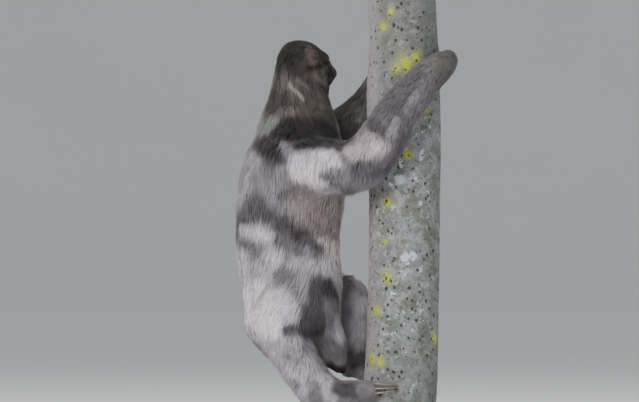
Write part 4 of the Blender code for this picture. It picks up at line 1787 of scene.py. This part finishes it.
class Coat:
    """Grows the coat from the skin as tapering tufts that lie along the body."""

    def __init__(self, skin: Object, settings: CoatSettings) -> None:
        """Gets the skin ready for the tufts.

        Args:
            skin: The skin.
            settings: How the coat is to be.
        """
        self.skin = skin
        self.settings = settings
        self.rng = np.random.default_rng(SEED)
        mesh = skin.data
        self.tree = BVHTree.FromPolygons(
            [v.co for v in mesh.vertices], [tuple(p.vertices) for p in mesh.polygons]
        )

    def build(self, material: Material) -> list[Object]:
        """Grows every piece of the coat.

        Args:
            material: The hair's material.

        Returns:
            The pieces.
        """
        roots, normals, maps = self._plant()
        lie, length, depth, hang, width = GROOMING.at(roots)
        owner = np.argmax(GROOMING.weights(roots), axis=1)
        regions = np.array([region_of(c) for c in GROOMING.combs])[owner]
        paths, ups, lots = self._lay(roots, normals, lie, length, depth, hang)
        whole = Tufts(roots, maps, paths, ups, width, depth, lots, self._marked(paths))
        pieces = []
        for region in sorted(set(regions)):
            chosen = np.nonzero(regions == region)[0]
            faces = len(chosen) * self.settings.faces_each
            share = max(1, math.ceil(faces / self.settings.piece_limit))
            order = chosen[np.argsort(roots[chosen, 2], kind="stable")]
            for number, part in enumerate(np.array_split(order, share)):
                name = region if share == 1 else f"{region}_{number + 1}"
                pieces.append(self._piece(name, whole.only(part), material))
        return pieces

    def _marked(self, paths: Array) -> Array:
        """Colours each ring of each tuft, read nearer to the tuft's seen part than the ring is.

        Args:
            paths: The rings' places.

        Returns:
            (n, rings + 1, 4) colours.
        """
        rings, middle = self.settings.rings, self.settings.seen_at
        colours = []
        for ring in range(rings + 1):
            spot = (middle + (ring / rings - middle) * self.settings.follow) * rings
            low = min(int(spot), rings - 1)
            run = paths[:, low + 1] - paths[:, low]
            colours.append(PELT_OF.at(paths[:, low] + run * (spot - low)))
        return np.stack(colours, axis=1)

    def _plant(self) -> tuple[Array, Array, Array]:
        """Spreads roots over the skin, closer together where the hair is short and fine.

        Returns:
            The roots' places, the skin's normals there and their places on the bake map.
        """
        mesh = self.skin.data
        mesh.calc_loop_triangles()
        count = len(mesh.loop_triangles)
        corners, loops = (np.empty(count * 3, np.int64) for _ in range(2))
        mesh.loop_triangles.foreach_get("vertices", corners)
        mesh.loop_triangles.foreach_get("loops", loops)
        corners, loops = corners.reshape(-1, 3), loops.reshape(-1, 3)
        points, normals = points_of(mesh), points_of(mesh, "normal")
        maps = np.empty(len(mesh.loops) * 2)
        mesh.uv_layers[BAKE_MAP].data.foreach_get("uv", maps)
        a, b, c = (points[corners[:, i]] for i in range(3))
        areas = np.linalg.norm(np.cross(b - a, c - a), axis=1) / 2
        middle = (a + b + c) / 3
        _, length, _, _, width = GROOMING.at(middle)
        fewest, most = self.settings.layers
        layers = fewest + (most - fewest) * ease(0.008, 0.04, length)
        density = np.minimum(layers / (width * length * 0.6), self.settings.densest)
        density *= self._open_skin(middle)
        wanted = areas * density
        total = int(self.settings.budget / self.settings.faces_each)
        log.info("tufts wanted %d, grown %d", int(wanted.sum()), total)
        steps = np.cumsum(wanted) / wanted.sum() * total
        marks = np.arange(total) + self.rng.random(total)
        chosen = np.minimum(np.searchsorted(steps, marks), count - 1)
        u, v = self.rng.random((2, total))
        flip = u + v > 1
        u, v = np.where(flip, 1 - u, u), np.where(flip, 1 - v, v)
        shares = np.stack((1 - u - v, u, v), axis=1)

        def blend(values: Array, index: Array) -> Array:
            """Reads values between each chosen triangle's corners."""
            return sum(values[index[chosen, i]] * shares[:, i : i + 1] for i in range(3))

        facing = unit(blend(normals, corners))
        return blend(points, corners), facing, blend(maps.reshape(-1, 2), loops)

    def _open_skin(self, points: Array) -> Array:
        """Leaves the eyes' openings, their rims and the nose clear of hair.

        Args:
            points: Places on the skin.

        Returns:
            1 where hair grows, 0 where it doesn't.
        """
        clear = np.ones(len(points))
        local = HEAD.inward(points)
        for side in (1, -1):
            centre, across, up, out = eye_frame(side)
            gap = local - centre
            opening = (gap @ across / 0.0058) ** 2 + (gap @ up / 0.0044) ** 2
            clear *= (opening > 1) | (gap @ out < -0.001) | (np.linalg.norm(gap, axis=1) > 0.014)
        gap = (local - np.array(HEAD.nose)) / (np.array(HEAD.nose_radii) + 0.0011)
        clear *= np.linalg.norm(gap, axis=1) > 1
        return clear

    def _lay(
        self,
        roots: Array,
        normals: Array,
        lie: Array,
        length: Array,
        depth: Array,
        hang: Array,
    ) -> tuple[Array, Array, Array]:
        """Runs each tuft over the body.

        Args:
            roots: Where the tufts start.
            normals: The skin's normals there.
            lie: The direction each starts in.
            length: How long each is.
            depth: How far the coat stands off the skin.
            hang: How freely each hangs, 0 to 1.

        Returns:
            The rings' places (n, rings + 1, 3), the directions away from the skin there, and a
            random number a tuft that its lock's tufts share in part.
        """
        total, settings, rng = len(roots), self.settings, self.rng
        rings = settings.rings
        swirl = drift(roots, 0.03, 21.0) * 0.3 + drift(roots, 0.011, 33.0) * 0.25
        across = lie + swirl + rng.normal(0, settings.sway, (total, 3))
        across -= normals * np.sum(across * normals, axis=1, keepdims=True)
        heading = unit(across)
        long_hair = ease(0.012, 0.035, length)
        least, more = settings.lengths
        length = length * (least + more * rng.random(total))
        least, more = settings.rises
        rise = depth * (least + more * rng.random(total) ** 0.8)
        rise *= 1 + 0.22 * drift(roots, 0.022, 41.0)[:, 0] * long_hair
        places = np.empty((total, rings + 1, 3))
        ups = np.empty((total, rings + 1, 3))
        places[:, 0] = roots - normals * settings.sink
        ups[:, 0] = normals
        down = np.array((0.0, 0.0, -1.0))
        for ring in range(1, rings + 1):
            s = ring / rings
            step = (length / rings)[:, None]
            heading = unit(heading + down * (hang * settings.fall * s)[:, None])
            free = places[:, ring - 1] + heading * step
            goal = rise * math.sin(math.pi / 2 * min(1.0, s / 0.75)) * (1 - 0.12 * s)
            for i, (x, y, z) in enumerate(free.tolist()):
                (a, b, c), (n, m, k), _, _ = self.tree.find_nearest((x, y, z))
                away = (x - a) * n + (y - b) * m + (z - c) * k
                aim = goal[i]
                high = aim + (away - aim) * hang[i] if away > aim else aim
                places[i, ring] = (a + n * high, b + m * high, c + k * high)
                ups[i, ring] = (n, m, k)
            heading = unit(places[:, ring] - places[:, ring - 1])
        return places, ups, self._gather(places, long_hair)

    def _gather(self, places: Array, long_hair: Array) -> Array:
        """Draws the tufts' tips together into locks, in place.

        Args:
            places: The rings' places.
            long_hair: 0 for short hair, 1 for long hair.

        Returns:
            A random number a tuft that its lock's tufts share in part.
        """
        total, rings = len(places), places.shape[1] - 1
        locks = max(1, int(total / self.settings.clump_spacing))
        leaders = self.rng.choice(total, locks, replace=False)
        tree = KDTree(len(leaders))
        starts = places[:, 0]
        for number, leader in enumerate(leaders.tolist()):
            tree.insert(starts[leader], number)
        tree.balance()
        nearest = np.array([tree.find(p)[1] for p in starts.tolist()])
        lots = 0.5 * self.rng.random(total) + 0.5 * self.rng.random(len(leaders))[nearest]
        led = places[leaders[nearest]]
        near = np.linalg.norm(led[:, 0] - starts, axis=1) < self.settings.clump_reach
        hold = (0.25 + 0.4 * long_hair) * near * (0.3 + 0.7 * self.rng.random(total))
        for ring in range(1, rings + 1):
            s = ring / rings
            places[:, ring] += (led[:, ring] - places[:, ring]) * (hold * s**1.3)[:, None]
        return lots

    def _piece(self, name: str, tufts: Tufts, material: Material) -> Object:
        """Makes one coat piece of closed three-sided tufts.

        Args:
            name: The piece's name.
            tufts: Its tufts.
            material: The hair's material.

        Returns:
            The piece.
        """
        path, settings = tufts.paths, self.settings
        count, rings = len(path), settings.rings
        ahead = np.empty_like(path)
        ahead[:, 1:-1] = path[:, 2:] - path[:, :-2]
        ahead[:, 0], ahead[:, -1] = path[:, 1] - path[:, 0], path[:, -1] - path[:, -2]
        ahead = unit(ahead.reshape(-1, 3)).reshape(path.shape)
        side = unit(np.cross(ahead, tufts.ups).reshape(-1, 3)).reshape(path.shape)
        lift = np.cross(side, ahead)
        tilt = self.rng.normal(0, settings.tilt, count)[:, None, None]
        turned = side * np.cos(tilt) + lift * np.sin(tilt)
        side, lift = turned, lift * np.cos(tilt) - side * np.sin(tilt)
        profile = np.interp(np.arange(rings) / rings, (0.0, 0.3, 0.7, 1.0), (0.7, 1.0, 0.85, 0.4))
        least, more = settings.widths
        wide = (tufts.width * (least + more * self.rng.random(count)))[:, None] * profile
        ring = path[:, :rings]
        half = side[:, :rings] * (wide / 2)[..., None]
        top = lift[:, :rings] * (wide * settings.thick)[..., None]
        body = np.stack((ring - half, ring + top, ring + half), axis=2).reshape(count, -1, 3)
        points = np.concatenate((body, path[:, -1:]), axis=1)
        per = points.shape[1]
        index = (self._faces(rings)[None] + (np.arange(count) * per)[:, None, None]).reshape(-1)
        starts = np.arange(0, len(index), 3, dtype=np.int32)
        mesh = bpy.data.meshes.new(name)
        mesh.vertices.add(count * per)
        mesh.vertices.foreach_set("co", points.ravel())
        mesh.loops.add(len(index))
        mesh.loops.foreach_set("vertex_index", index.astype(np.int32))
        mesh.polygons.add(len(starts))
        mesh.polygons.foreach_set("loop_start", starts)
        mesh.update(calc_edges=True)
        mesh.polygons.foreach_set("use_smooth", np.ones(len(starts), bool))
        self._dress(mesh, tufts, side, lift, index)
        mesh.materials.append(material)
        return Bench.new(name, mesh)

    @staticmethod
    def _faces(rings: int) -> Array:
        """Numbers the triangles of one tuft: its sides, its point and its closed root.

        Args:
            rings: How many rings it has below its point.

        Returns:
            Three points a triangle.
        """
        faces = [(0, 2, 1)]
        around = ((0, 1), (1, 2), (2, 0))
        for low in range(0, rings * 3 - 3, 3):
            for a, b in around:
                faces.append((low + a, low + b, low + 3 + b))
                faces.append((low + a, low + 3 + b, low + 3 + a))
        last = (rings - 1) * 3
        faces += [(last + a, last + b, rings * 3) for a, b in around]
        return np.array(faces)

    def _dress(
        self,
        mesh: Mesh,
        tufts: Tufts,
        side: Array,
        lift: Array,
        index: Array,
    ) -> None:
        """Gives a coat piece its bake map, colours, strand facts and soft normals.

        Args:
            mesh: The piece's mesh.
            tufts: Its tufts.
            side: The direction across each ring.
            lift: The direction out of each ring.
            index: The point at each face's corner.
        """
        rings, up = self.settings.rings, tufts.ups
        count, per = len(up), rings * 3 + 1
        along = np.append(np.repeat(np.arange(rings) / rings, 3), 1.0)
        place = np.append(np.tile(np.array((-0.5, 0.0, 0.5)), rings), 0.0)
        spread = np.stack((place, along - 0.5), axis=1) * self.settings.patch
        maps = (tufts.maps[:, None] + spread[None]).reshape(-1, 2)
        layer = mesh.uv_layers.new(name=BAKE_MAP)
        layer.data.foreach_set("uv", np.clip(maps, 0.0, 1.0)[index].ravel())
        tints = tufts.pelt[:, np.append(np.repeat(np.arange(rings), 3), rings)].reshape(-1, 4)
        tints[:, 3] = np.tile(place + 0.5, count)
        write_attribute(mesh, PELT, "FLOAT_COLOR", tints)
        off = np.sum((tufts.paths[:, 2] - tufts.roots) * up[:, 2], axis=1)
        high = off / np.maximum(tufts.depth, 1e-4)
        strand = np.empty((count, per, 3))
        strand[..., 0] = along
        strand[..., 1] = tufts.lots[:, None]
        strand[..., 2] = np.clip(high, 0, 1)[:, None]
        write_attribute(mesh, STRAND, "FLOAT_VECTOR", strand.reshape(-1, 3))
        soft, share = np.empty((count, per, 3)), self.settings.soft
        for number, (aside, above) in enumerate(((-0.8, -0.1), (0.0, 0.6), (0.8, -0.1))):
            leaning = up[:, :rings] + side[:, :rings] * aside * share
            soft[:, number : rings * 3 : 3] = leaning + lift[:, :rings] * above * share
        soft[:, -1] = up[:, -1]
        mesh.normals_split_custom_set_from_vertices(unit(soft.reshape(-1, 3)))


def region_of(comb: Comb) -> str:
    """Names the coat piece that a comb's hair belongs to.

    Args:
        comb: The comb.

    Returns:
        The piece's name, before any number.
    """
    if comb in HEAD_COMBS:
        return "coat_head"
    if comb.name == "tail":
        return "coat_tail"
    if "neck" in comb.name or "nape" in comb.name:
        return "coat_neck"
    if comb in LIMB_COMBS:
        side = "right" if comb.name.startswith("near") else "left"
        leg = any(word in comb.name for word in ("thigh", "knee", "shank", "ankle", "toes"))
        return f"coat_{side}_{'leg' if leg else 'arm'}"
    side = "left" if comb.name.endswith("far") else "right"
    return f"coat_{side}_{'chest' if comb.centre[2] > 0.5 else 'flank'}"


# --- Face pieces ---


@dataclass
class Eye:
    """One eyeball with a raised cornea."""

    side: int
    name: str
    segments: int = 40
    rings: int = 28
    cornea: float = 0.0006
    cornea_from: float = 0.66

    def build(self) -> Object:
        """Makes the eye where the frame has it.

        Returns:
            The eye.
        """
        centre = HEAD.place(beside(HEAD.eye, self.side))
        gaze = Vector(HEAD.turn(eye_frame(self.side)[3])).normalized()
        eye = Bench.start(
            bpy.ops.mesh.primitive_uv_sphere_add,
            f"sloth_{self.name}",
            segments=self.segments,
            ring_count=self.rings,
            radius=HEAD.eye_radius,
            location=centre,
            rotation=gaze.to_track_quat("Z", "Y").to_euler(),
        )
        Bench.settle(eye)
        points = points_of(eye.data)
        ahead = (points - np.array(centre)) @ np.array(gaze)
        lift = ease(HEAD.eye_radius * self.cornea_from, HEAD.eye_radius, ahead) * self.cornea
        set_points(eye.data, points + np.array(gaze) * lift[:, None])
        return Bench.dress(eye, Finish.eye(centre, tuple(gaze)))


@dataclass
class Nose:
    """The bare nose pad with its two nostrils."""

    segments: int = 56
    rings: int = 40
    flatten: float = 0.86
    groove: tuple[float, float] = (0.0007, 0.0005)
    nostril: Triple = (0.0052, 0.0037, -0.0008)
    nostril_size: float = 0.0019
    nostril_depth: float = 0.0021
    nostril_rim: tuple[float, float] = (0.0006, 0.00025)

    def build(self) -> Object:
        """Makes the nose where the frame has it.

        Returns:
            The nose.
        """
        add = bpy.ops.mesh.primitive_uv_sphere_add
        ball = {"segments": self.segments, "ring_count": self.rings, "radius": 1.0}
        nose = Bench.start(add, "sloth_nose", **ball)
        local = points_of(nose.data) * np.array(HEAD.nose_radii)
        local[:, 0] = np.where(local[:, 0] > 0, local[:, 0] * self.flatten, local[:, 0])
        wide, deep = self.groove
        groove = np.exp(-((local[:, 1] / wide) ** 2)) * ease(0.0, 0.002, local[:, 0])
        local[:, 0] -= groove * deep
        wide, high = self.nostril_rim
        for side in (1, -1):
            gap = (local - np.array(beside(self.nostril, side))) * np.array((0.3, 1.0, 1.25))
            slant = gap[:, 1] * side * 0.35
            share = np.exp(-((np.hypot(gap[:, 1], gap[:, 2] + slant) / self.nostril_size) ** 4))
            share *= local[:, 0] > 0
            local[:, 0] -= share * self.nostril_depth
            off = np.hypot(gap[:, 1], gap[:, 2]) - self.nostril_size * 1.25
            local[:, 0] += np.exp(-((off / wide) ** 2)) * high * (local[:, 0] > 0)
        set_points(nose.data, HEAD.outward(local + np.array(HEAD.nose)))
        return Bench.dress(nose, Finish.nose())


# --- Claws ---


@dataclass(frozen=True)
class ClawSet:
    """Three claws of one hand or foot, hooked round the trunk as the frame has them."""

    name: str
    angles: tuple[float, float]
    heights: tuple[float, float]
    radius: float
    spread: float
    reach: float


CLAW_SETS: tuple[ClawSet, ...] = (
    ClawSet("right_hand_claw", (-16, 48), (0.7675, 0.776), 0.0043, 0.0118, 0.079),
    ClawSet("left_hand_claw", (72, 24), (0.816, 0.824), 0.0043, 0.0118, 0.079),
    ClawSet("right_foot_claw", (-135, -95), (0.1935, 0.195), 0.0037, 0.0105, 0.0845),
    ClawSet("left_foot_claw", (135, 95), (0.212, 0.206), 0.0037, 0.0105, 0.0845),
)


@dataclass
class Claw:
    """One long hooked claw: deep, narrow from side to side, ridged above and grooved below."""

    of: ClawSet
    number: int
    tip: float = 0.0009
    gap: float = 0.0004
    bulge: float = 0.006
    rings: int = 44
    root: float = -0.12
    narrow: float = 0.8

    def _path(self, t: float) -> tuple[Vector, float]:
        """Follows the claw.

        Args:
            t: A share of its length.

        Returns:
            Its middle and its radius there.
        """
        of, place = self.of, self.number - 2
        start, end = of.angles
        low, high = of.heights
        held = max(t, 0.0)
        closest = PERCH.radius + PERCH.swell + self.tip + 2 * self.gap
        inward = (closest - of.reach) * held**1.8
        reach = of.reach + inward + self.bulge * math.sin(math.pi * held)
        height = low + (high - low) * t + of.spread * place * (1 - 0.55 * held)
        radius = self.tip + (of.radius - self.tip) * (1 - held**1.6)
        return PERCH.around(start + (end - start) * t, reach, height), radius

    def build(self, material: Material) -> Object:
        """Sweeps the claw along its path and cuts its section.

        Args:
            material: The horn.

        Returns:
            The claw.
        """
        name = f"{self.of.name}_{self.number}"
        curve = bpy.data.curves.new(f"{name}_path", "CURVE")
        curve.dimensions = "3D"
        curve.bevel_depth = 1.0
        curve.bevel_resolution = 6
        curve.use_fill_caps = True
        spline = curve.splines.new("POLY")
        spline.points.add(self.rings)
        shares = [self.root + (1 - self.root) * step / self.rings for step in range(self.rings + 1)]
        for point, t in zip(spline.points, shares):
            place, radius = self._path(t)
            point.co = (*place, 1.0)
            point.radius = radius if t > self.root else radius * 0.6
        Bench.select(Bench.new(f"horn_{name}", curve))
        bpy.ops.object.convert(target="MESH")
        claw = bpy.context.object
        claw.data.name = claw.name
        Bench.modify(claw, "WELD", merge_threshold=0.00002)
        self._cut(claw.data, shares)
        return Bench.dress(claw, material)

    def _cut(self, mesh: Mesh, shares: Sequence[float]) -> None:
        """Presses the round sweep into a claw's section, and marks how far along each point is.

        Args:
            mesh: The sweep.
            shares: The share of the length at each ring.
        """
        middles = [self._path(t) for t in shares]
        tree = KDTree(len(middles))
        for index, (place, _) in enumerate(middles):
            tree.insert(place, index)
        tree.balance()
        points = points_of(mesh)
        facts = np.zeros((len(points), 3))
        for row, point in enumerate(points):
            index = tree.find(point)[1]
            place = middles[index][0]
            ahead = middles[min(index + 1, self.rings)][0] - middles[max(index - 1, 0)][0]
            ahead.normalize()
            out = place - PERCH.centre(place.z)
            out = (out - ahead * out.dot(ahead)).normalized()
            side = ahead.cross(out)
            gap = Vector(point) - place
            forth, high, wide = gap.dot(ahead), gap.dot(out), gap.dot(side)
            turn = math.atan2(wide, high)
            ridge = max(0.0, math.cos(turn)) ** 6
            groove = max(0.0, -math.cos(turn)) ** 4
            ripple = 1 + 0.018 * math.sin(turn * 9)
            wide *= self.narrow * ripple
            high *= (1.04 + 0.05 * ridge) if high > 0 else (0.9 - 0.22 * groove)
            points[row] = place + ahead * forth + out * high + side * wide
            facts[row] = (max(shares[index], 0.0), ridge, turn / (2 * math.pi) + 0.5)
        set_points(mesh, points)
        write_attribute(mesh, STRAND, "FLOAT_VECTOR", facts)


# --- Trunk and stand ---


@dataclass
class Trunk:
    """The cut length of trunk: uneven bark, a rolled edge and sawn ends."""

    sides: int = 160
    cuts: tuple[int, int] = (19, 23)
    rolled: float = 0.0022
    drawn_in: float = 0.0072
    taper: tuple[float, float] = (0.69, 0.81)
    knots: tuple[tuple[float, float, float, float], ...] = (
        (-118.0, 0.432, 0.011, 0.0016),
        (-62.0, 0.655, 0.009, 0.0014),
        (40.0, 0.36, 0.013, 0.0016),
        (150.0, 0.72, 0.012, 0.0016),
        (95.0, 0.55, 0.01, 0.0016),
    )
    end_thick: float = 0.0022
    end_inside: float = 0.0036
    growth: float = 0.0052

    def build(self) -> list[Object]:
        """Makes the bark and the two sawn ends, the upper one first."""
        ends = (("top", PERCH.top, 1), ("foot", PERCH.foot, -1))
        return [self._bark(), *(self._end(f"perch_sawn_{end[0]}", *end[1:]) for end in ends)]

    def _bark(self) -> Object:
        """Makes the bark as a finely divided tube that follows the trunk's bow.

        Returns:
            The bark.
        """
        add = bpy.ops.mesh.primitive_cylinder_add
        tube = {"vertices": self.sides, "radius": 1.0, "depth": 1.0, "end_fill_type": "NGON"}
        bark = Bench.start(add, "perch_bark", location=(0, 0, 0), **tube)
        mesh = bark.data
        for cuts in self.cuts:
            Bench.pick_upright(mesh, 1e-5)
            with Bench.editing():
                bpy.ops.mesh.subdivide(number_cuts=cuts, quadcorner="INNERVERT")
        points = points_of(mesh)
        angle = np.arctan2(points[:, 1], points[:, 0])
        share = points[:, 2] + 0.5
        height = PERCH.foot + (PERCH.top - PERCH.foot) * share
        round_it = np.stack((np.cos(angle), np.sin(angle), np.zeros_like(angle)), axis=1)
        level = np.stack((np.zeros_like(height), np.zeros_like(height), height), axis=1)
        radius = PERCH.radius + PERCH.swell * np.sin(9 * share + 1)
        radius += self._relief(round_it * PERCH.radius + level, angle, height)
        end = np.minimum(share, 1 - share) * (PERCH.top - PERCH.foot)
        roll = np.clip(1 - end / self.rolled, 0, 1)
        radius -= self.rolled * (1 - np.sqrt(1 - roll**2 * 0.98))
        axis = np.array([PERCH.centre(z) for z in height])
        set_points(mesh, axis + round_it * radius[:, None])
        return Bench.dress(bark, Finish.bark(), 50)

    def _relief(self, around: Array, angle: Array, height: Array) -> Array:
        """Shapes the bark: slow swells, small blisters, knots and shallow scars.

        Args:
            around: Places on the plain trunk.
            angle: Their angles round it.
            height: Their heights.

        Returns:
            The rise or fall at each place.
        """
        slow = drift(around * np.array((1.0, 1.0, 0.5)), 0.045, 3.0)[:, 0] * 0.0009
        middle = drift(around, 0.014, 7.0)[:, 0] * 0.00055
        fine = drift(around, 0.0048, 11.0)[:, 0] * 0.00022
        relief = slow + middle + fine - 0.0009
        for degrees, level, size, rise in self.knots:
            turn = (angle - math.radians(degrees) + math.pi) % (2 * math.pi) - math.pi
            far = np.hypot(turn * PERCH.radius, (height - level) * 0.8)
            ring = np.exp(-(((far - size) / (size * 0.4)) ** 2))
            relief += (ring - 0.8 * np.exp(-((far / (size * 0.6)) ** 2))) * rise * 0.5
        return np.clip(relief, -0.0032, 0.0004) - self._draw_in(angle, height)

    def _draw_in(self, angle: Array, height: Array) -> Array:
        """Gives how far the trunk narrows towards its top, on the side the animal climbs."""
        return self.drawn_in * ease(*self.taper, height) * np.clip(-np.cos(angle), 0, 1) ** 1.5

    def _end(self, name: str, height: float, facing: int) -> Object:
        """Makes one sawn end: a disc with a broken edge and shallow growth rings.

        Args:
            name: Its name.
            height: The height of the cut.
            facing: 1 for an end that looks up, -1 for one that looks down.

        Returns:
            The end.
        """
        middle = PERCH.centre(height).x
        end = Bench.start(
            bpy.ops.mesh.primitive_cylinder_add,
            name,
            vertices=96,
            radius=PERCH.radius - self.end_inside,
            depth=self.end_thick,
            location=(middle, 0.0, height - facing * self.end_thick * 0.38),
        )
        mesh = end.data
        Bench.settle(end)
        Bench.pick_level(mesh, facing)
        with Bench.editing():
            for width in (0.0008, *([self.growth] * 10)):
                bpy.ops.mesh.inset(thickness=width, use_boundary=True)
        points = points_of(mesh)
        out = np.hypot(points[:, 0] - middle, points[:, 1])
        top = (points[:, 2] - height) * facing > -0.0008
        wave = drift(points, 0.02, 17.0)[:, 0] * 0.00025 - 0.00035
        edge = (out > PERCH.radius - 0.004) * -0.0005
        points[:, 2] += np.where(top, (wave + edge) * facing, 0.0)
        angle = np.arctan2(points[:, 1], points[:, 0] - middle)
        narrow = 1 - self._draw_in(angle, np.full(len(points), height)) / PERCH.radius
        points[:, 0] = middle + (points[:, 0] - middle) * narrow
        points[:, 1] *= narrow
        set_points(mesh, points)
        return Bench.dress(end, Finish.end_grain(), 40)


@dataclass
class Stand:
    """The plain display stand: a lacquered board with a moulded edge, and two rods with collars."""

    wide: float = 0.44
    deep: float = 0.34
    thick: float = 0.024
    corner: float = 0.03
    step: tuple[float, float, float] = (0.005, 0.0008, 0.0012)
    rod: float = 0.009
    apart: float = 0.03
    collar: float = 0.0145
    collar_high: float = 0.004
    gap: float = 0.0004

    def build(self) -> list[Object]:
        """Makes the board and the rods.

        Returns:
            The pieces, the board first.
        """
        steel = Finish.steel()
        middle = PERCH.centre(PERCH.foot).x
        sides = ((1, -1), (2, 1))
        rods = [self._rod(number, middle + side * self.apart, steel) for number, side in sides]
        return [self._board(), *rods]

    def _board(self) -> Object:
        """Makes the board, its corners rounded and its upper edge moulded with a small step.

        Returns:
            The board.
        """
        add, place = bpy.ops.mesh.primitive_cube_add, (0, 0, self.thick / 2)
        board = Bench.start(add, "stand_board", size=1.0, location=place)
        board.scale = (self.wide, self.deep, self.thick)
        Bench.settle(board)
        Bench.pick_upright(board.data, self.thick / 2)
        with Bench.editing():
            bpy.ops.mesh.bevel(offset=self.corner, segments=14, profile=0.5)
        Bench.pick_level(board.data)
        first, second, drop = self.step
        with Bench.editing():
            bpy.ops.mesh.inset(thickness=first)
            bpy.ops.transform.translate(value=(0, 0, -drop))
            bpy.ops.mesh.inset(thickness=second)
            bpy.ops.transform.translate(value=(0, 0, drop))
        Bench.round_edges(board, 0.0016, 4)
        return Bench.dress(board, Finish.wood(), 35)

    def _rod(self, number: int, x: float, material: Material) -> Object:
        """Makes one rod with a turned collar at its foot.

        Args:
            number: Which rod it is.
            x: Its place.
            material: The steel.

        Returns:
            The rod.
        """
        low, high = self.thick + self.gap, PERCH.foot - self.gap
        rod = Bench.start(
            bpy.ops.mesh.primitive_cylinder_add,
            f"stand_steel_rod_{number}",
            vertices=64,
            radius=self.collar,
            depth=self.collar_high,
            location=(x, 0, low + self.collar_high / 2),
        )
        Bench.settle(rod)
        Bench.pick_level(rod.data)
        rise = {"value": (0, 0, high - low - self.collar_high)}
        with Bench.editing():
            bpy.ops.mesh.inset(thickness=self.collar - self.rod)
            bpy.ops.mesh.extrude_region_move(TRANSFORM_OT_translate=rise)
        Bench.round_edges(rod, 0.0007, 3)
        return Bench.dress(rod, material, 35)


# --- Studio ---


@dataclass
class Studio:
    """A pale bowl of a floor, soft lights and the camera."""

    radius: float = 24.0
    flat: float = 17.0
    steps: int = 14
    target: Triple = (-0.06, 0.0, 0.52)
    camera_place: Triple = (-0.0625, -8.0, 0.519)
    lens: float = 257.6
    sensor: float = 36.0

    def build(self) -> None:
        """Makes the studio round the finished model."""
        self._floor()
        self._lights()
        self._camera()

    def _floor(self) -> None:
        """Turns a flat disc up into a bowl all round, so no edge shows from any side."""
        add = bpy.ops.mesh.primitive_circle_add
        disc = {"vertices": 96, "radius": self.flat, "fill_type": "NGON"}
        floor = Bench.start(add, "studio_bowl", **disc)
        rise = self.radius - self.flat
        with Bench.editing("EDGE"):
            bpy.ops.mesh.select_non_manifold()
            for step in range(self.steps):
                turn = math.pi / 2 * (step + 1) / self.steps
                before = math.pi / 2 * step / self.steps
                lift = rise * (math.cos(before) - math.cos(turn))
                grow = (self.flat + rise * math.sin(turn)) / (self.flat + rise * math.sin(before))
                bpy.ops.mesh.extrude_edges_move()
                bpy.ops.transform.resize(value=(grow, grow, 1.0), center_override=(0, 0, 0))
                bpy.ops.transform.translate(value=(0, 0, lift))
            bpy.ops.mesh.select_all(action="SELECT")
            bpy.ops.mesh.normals_make_consistent(inside=True)
        Bench.settle(floor)
        Bench.smooth(floor)
        floor.data.materials.append(Finish.floor())

    def _lights(self) -> None:
        """Sets a large soft key from the upper left, a fill from the right, two rims and a sky."""
        white = (1.0, 1.0, 1.0)
        for name, place, size, power, colour in (
            ("key", (-1.5, -4.0, 1.9), 2.0, 215.0, (1.0, 0.99, 0.985)),
            ("fill", (2.6, -3.4, 1.2), 2.6, 40.0, (0.95, 0.975, 1.0)),
            ("rim_left", (-2.8, 2.6, 2.4), 1.8, 60.0, white),
            ("rim_right", (2.8, 2.6, 2.4), 1.8, 60.0, white),
            ("top", (0.0, 0.2, 3.6), 2.2, 40.0, white),
        ):
            light = bpy.data.lights.new(name, "AREA")
            light.shape = "DISK"
            light.size = size
            light.energy = power
            light.color = colour
            lamp = Bench.new(name, light)
            lamp.location = place
            aim = Vector(self.target) - Vector(place)
            lamp.rotation_euler = aim.to_track_quat("-Z", "Y").to_euler()
        world = bpy.data.worlds.new("studio_sky")
        world.use_nodes = True
        sky = world.node_tree.nodes["Background"]
        sky.inputs["Color"].default_value = (0.93, 0.96, 1.0, 1.0)
        sky.inputs["Strength"].default_value = 0.5
        bpy.context.scene.world = world

    def _camera(self) -> None:
        """Puts the camera level with the animal's middle, at its right side."""
        lens = bpy.data.cameras.new("view")
        lens.lens = self.lens
        lens.sensor_width = self.sensor
        lens.clip_end = 100.0
        camera = Bench.new("view", lens)
        camera.location = self.camera_place
        camera.rotation_euler = (math.radians(90), 0.0, 0.0)
        bpy.context.scene.camera = camera


# --- The whole model ---


def finish_piece(piece: Object, slot: Slot, *nodes: str) -> None:
    """Fixes a piece to the model, hides the frame's nodes that it replaces, and reports it.

    Args:
        piece: The finished piece.
        slot: Not used.
        *nodes: The frame's nodes that it replaces.
    """
    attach(piece, "root")
    if nodes:
        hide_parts(*nodes)
    log.info("%s: %d faces", piece.name, len(piece.data.polygons))


def main() -> None:
    """Builds every piece in order."""
    skin = SkinShape(frame["nodes"]).build()
    finish_piece(skin, Slot.FUR, *FLESH)
    for piece in Coat(skin, CoatSettings()).build(Finish.coat()):
        finish_piece(piece, Slot.FUR)
    for side, name in ((1, "left_eye"), (-1, "right_eye")):
        finish_piece(Eye(side, name).build(), Slot.EYE, name)
    finish_piece(Nose().build(), Slot.NOSE, "nose")
    horn = Finish.claw()
    for claws in CLAW_SETS:
        for number in (1, 2, 3):
            finish_piece(Claw(claws, number).build(horn), Slot.CLAW, f"{claws.name}_{number}")
    bark, top, foot = Trunk().build()
    finish_piece(bark, Slot.BARK, "perch")
    finish_piece(top, Slot.BARK)
    finish_piece(foot, Slot.BARK)
    board, *rods = Stand().build()
    finish_piece(board, Slot.WOOD, "stand_base")
    for number, rod in enumerate(rods, 1):
        finish_piece(rod, Slot.STEEL, f"stand_rod_{number}")
    Studio().build()


if __name__ == "__main__":
    main()
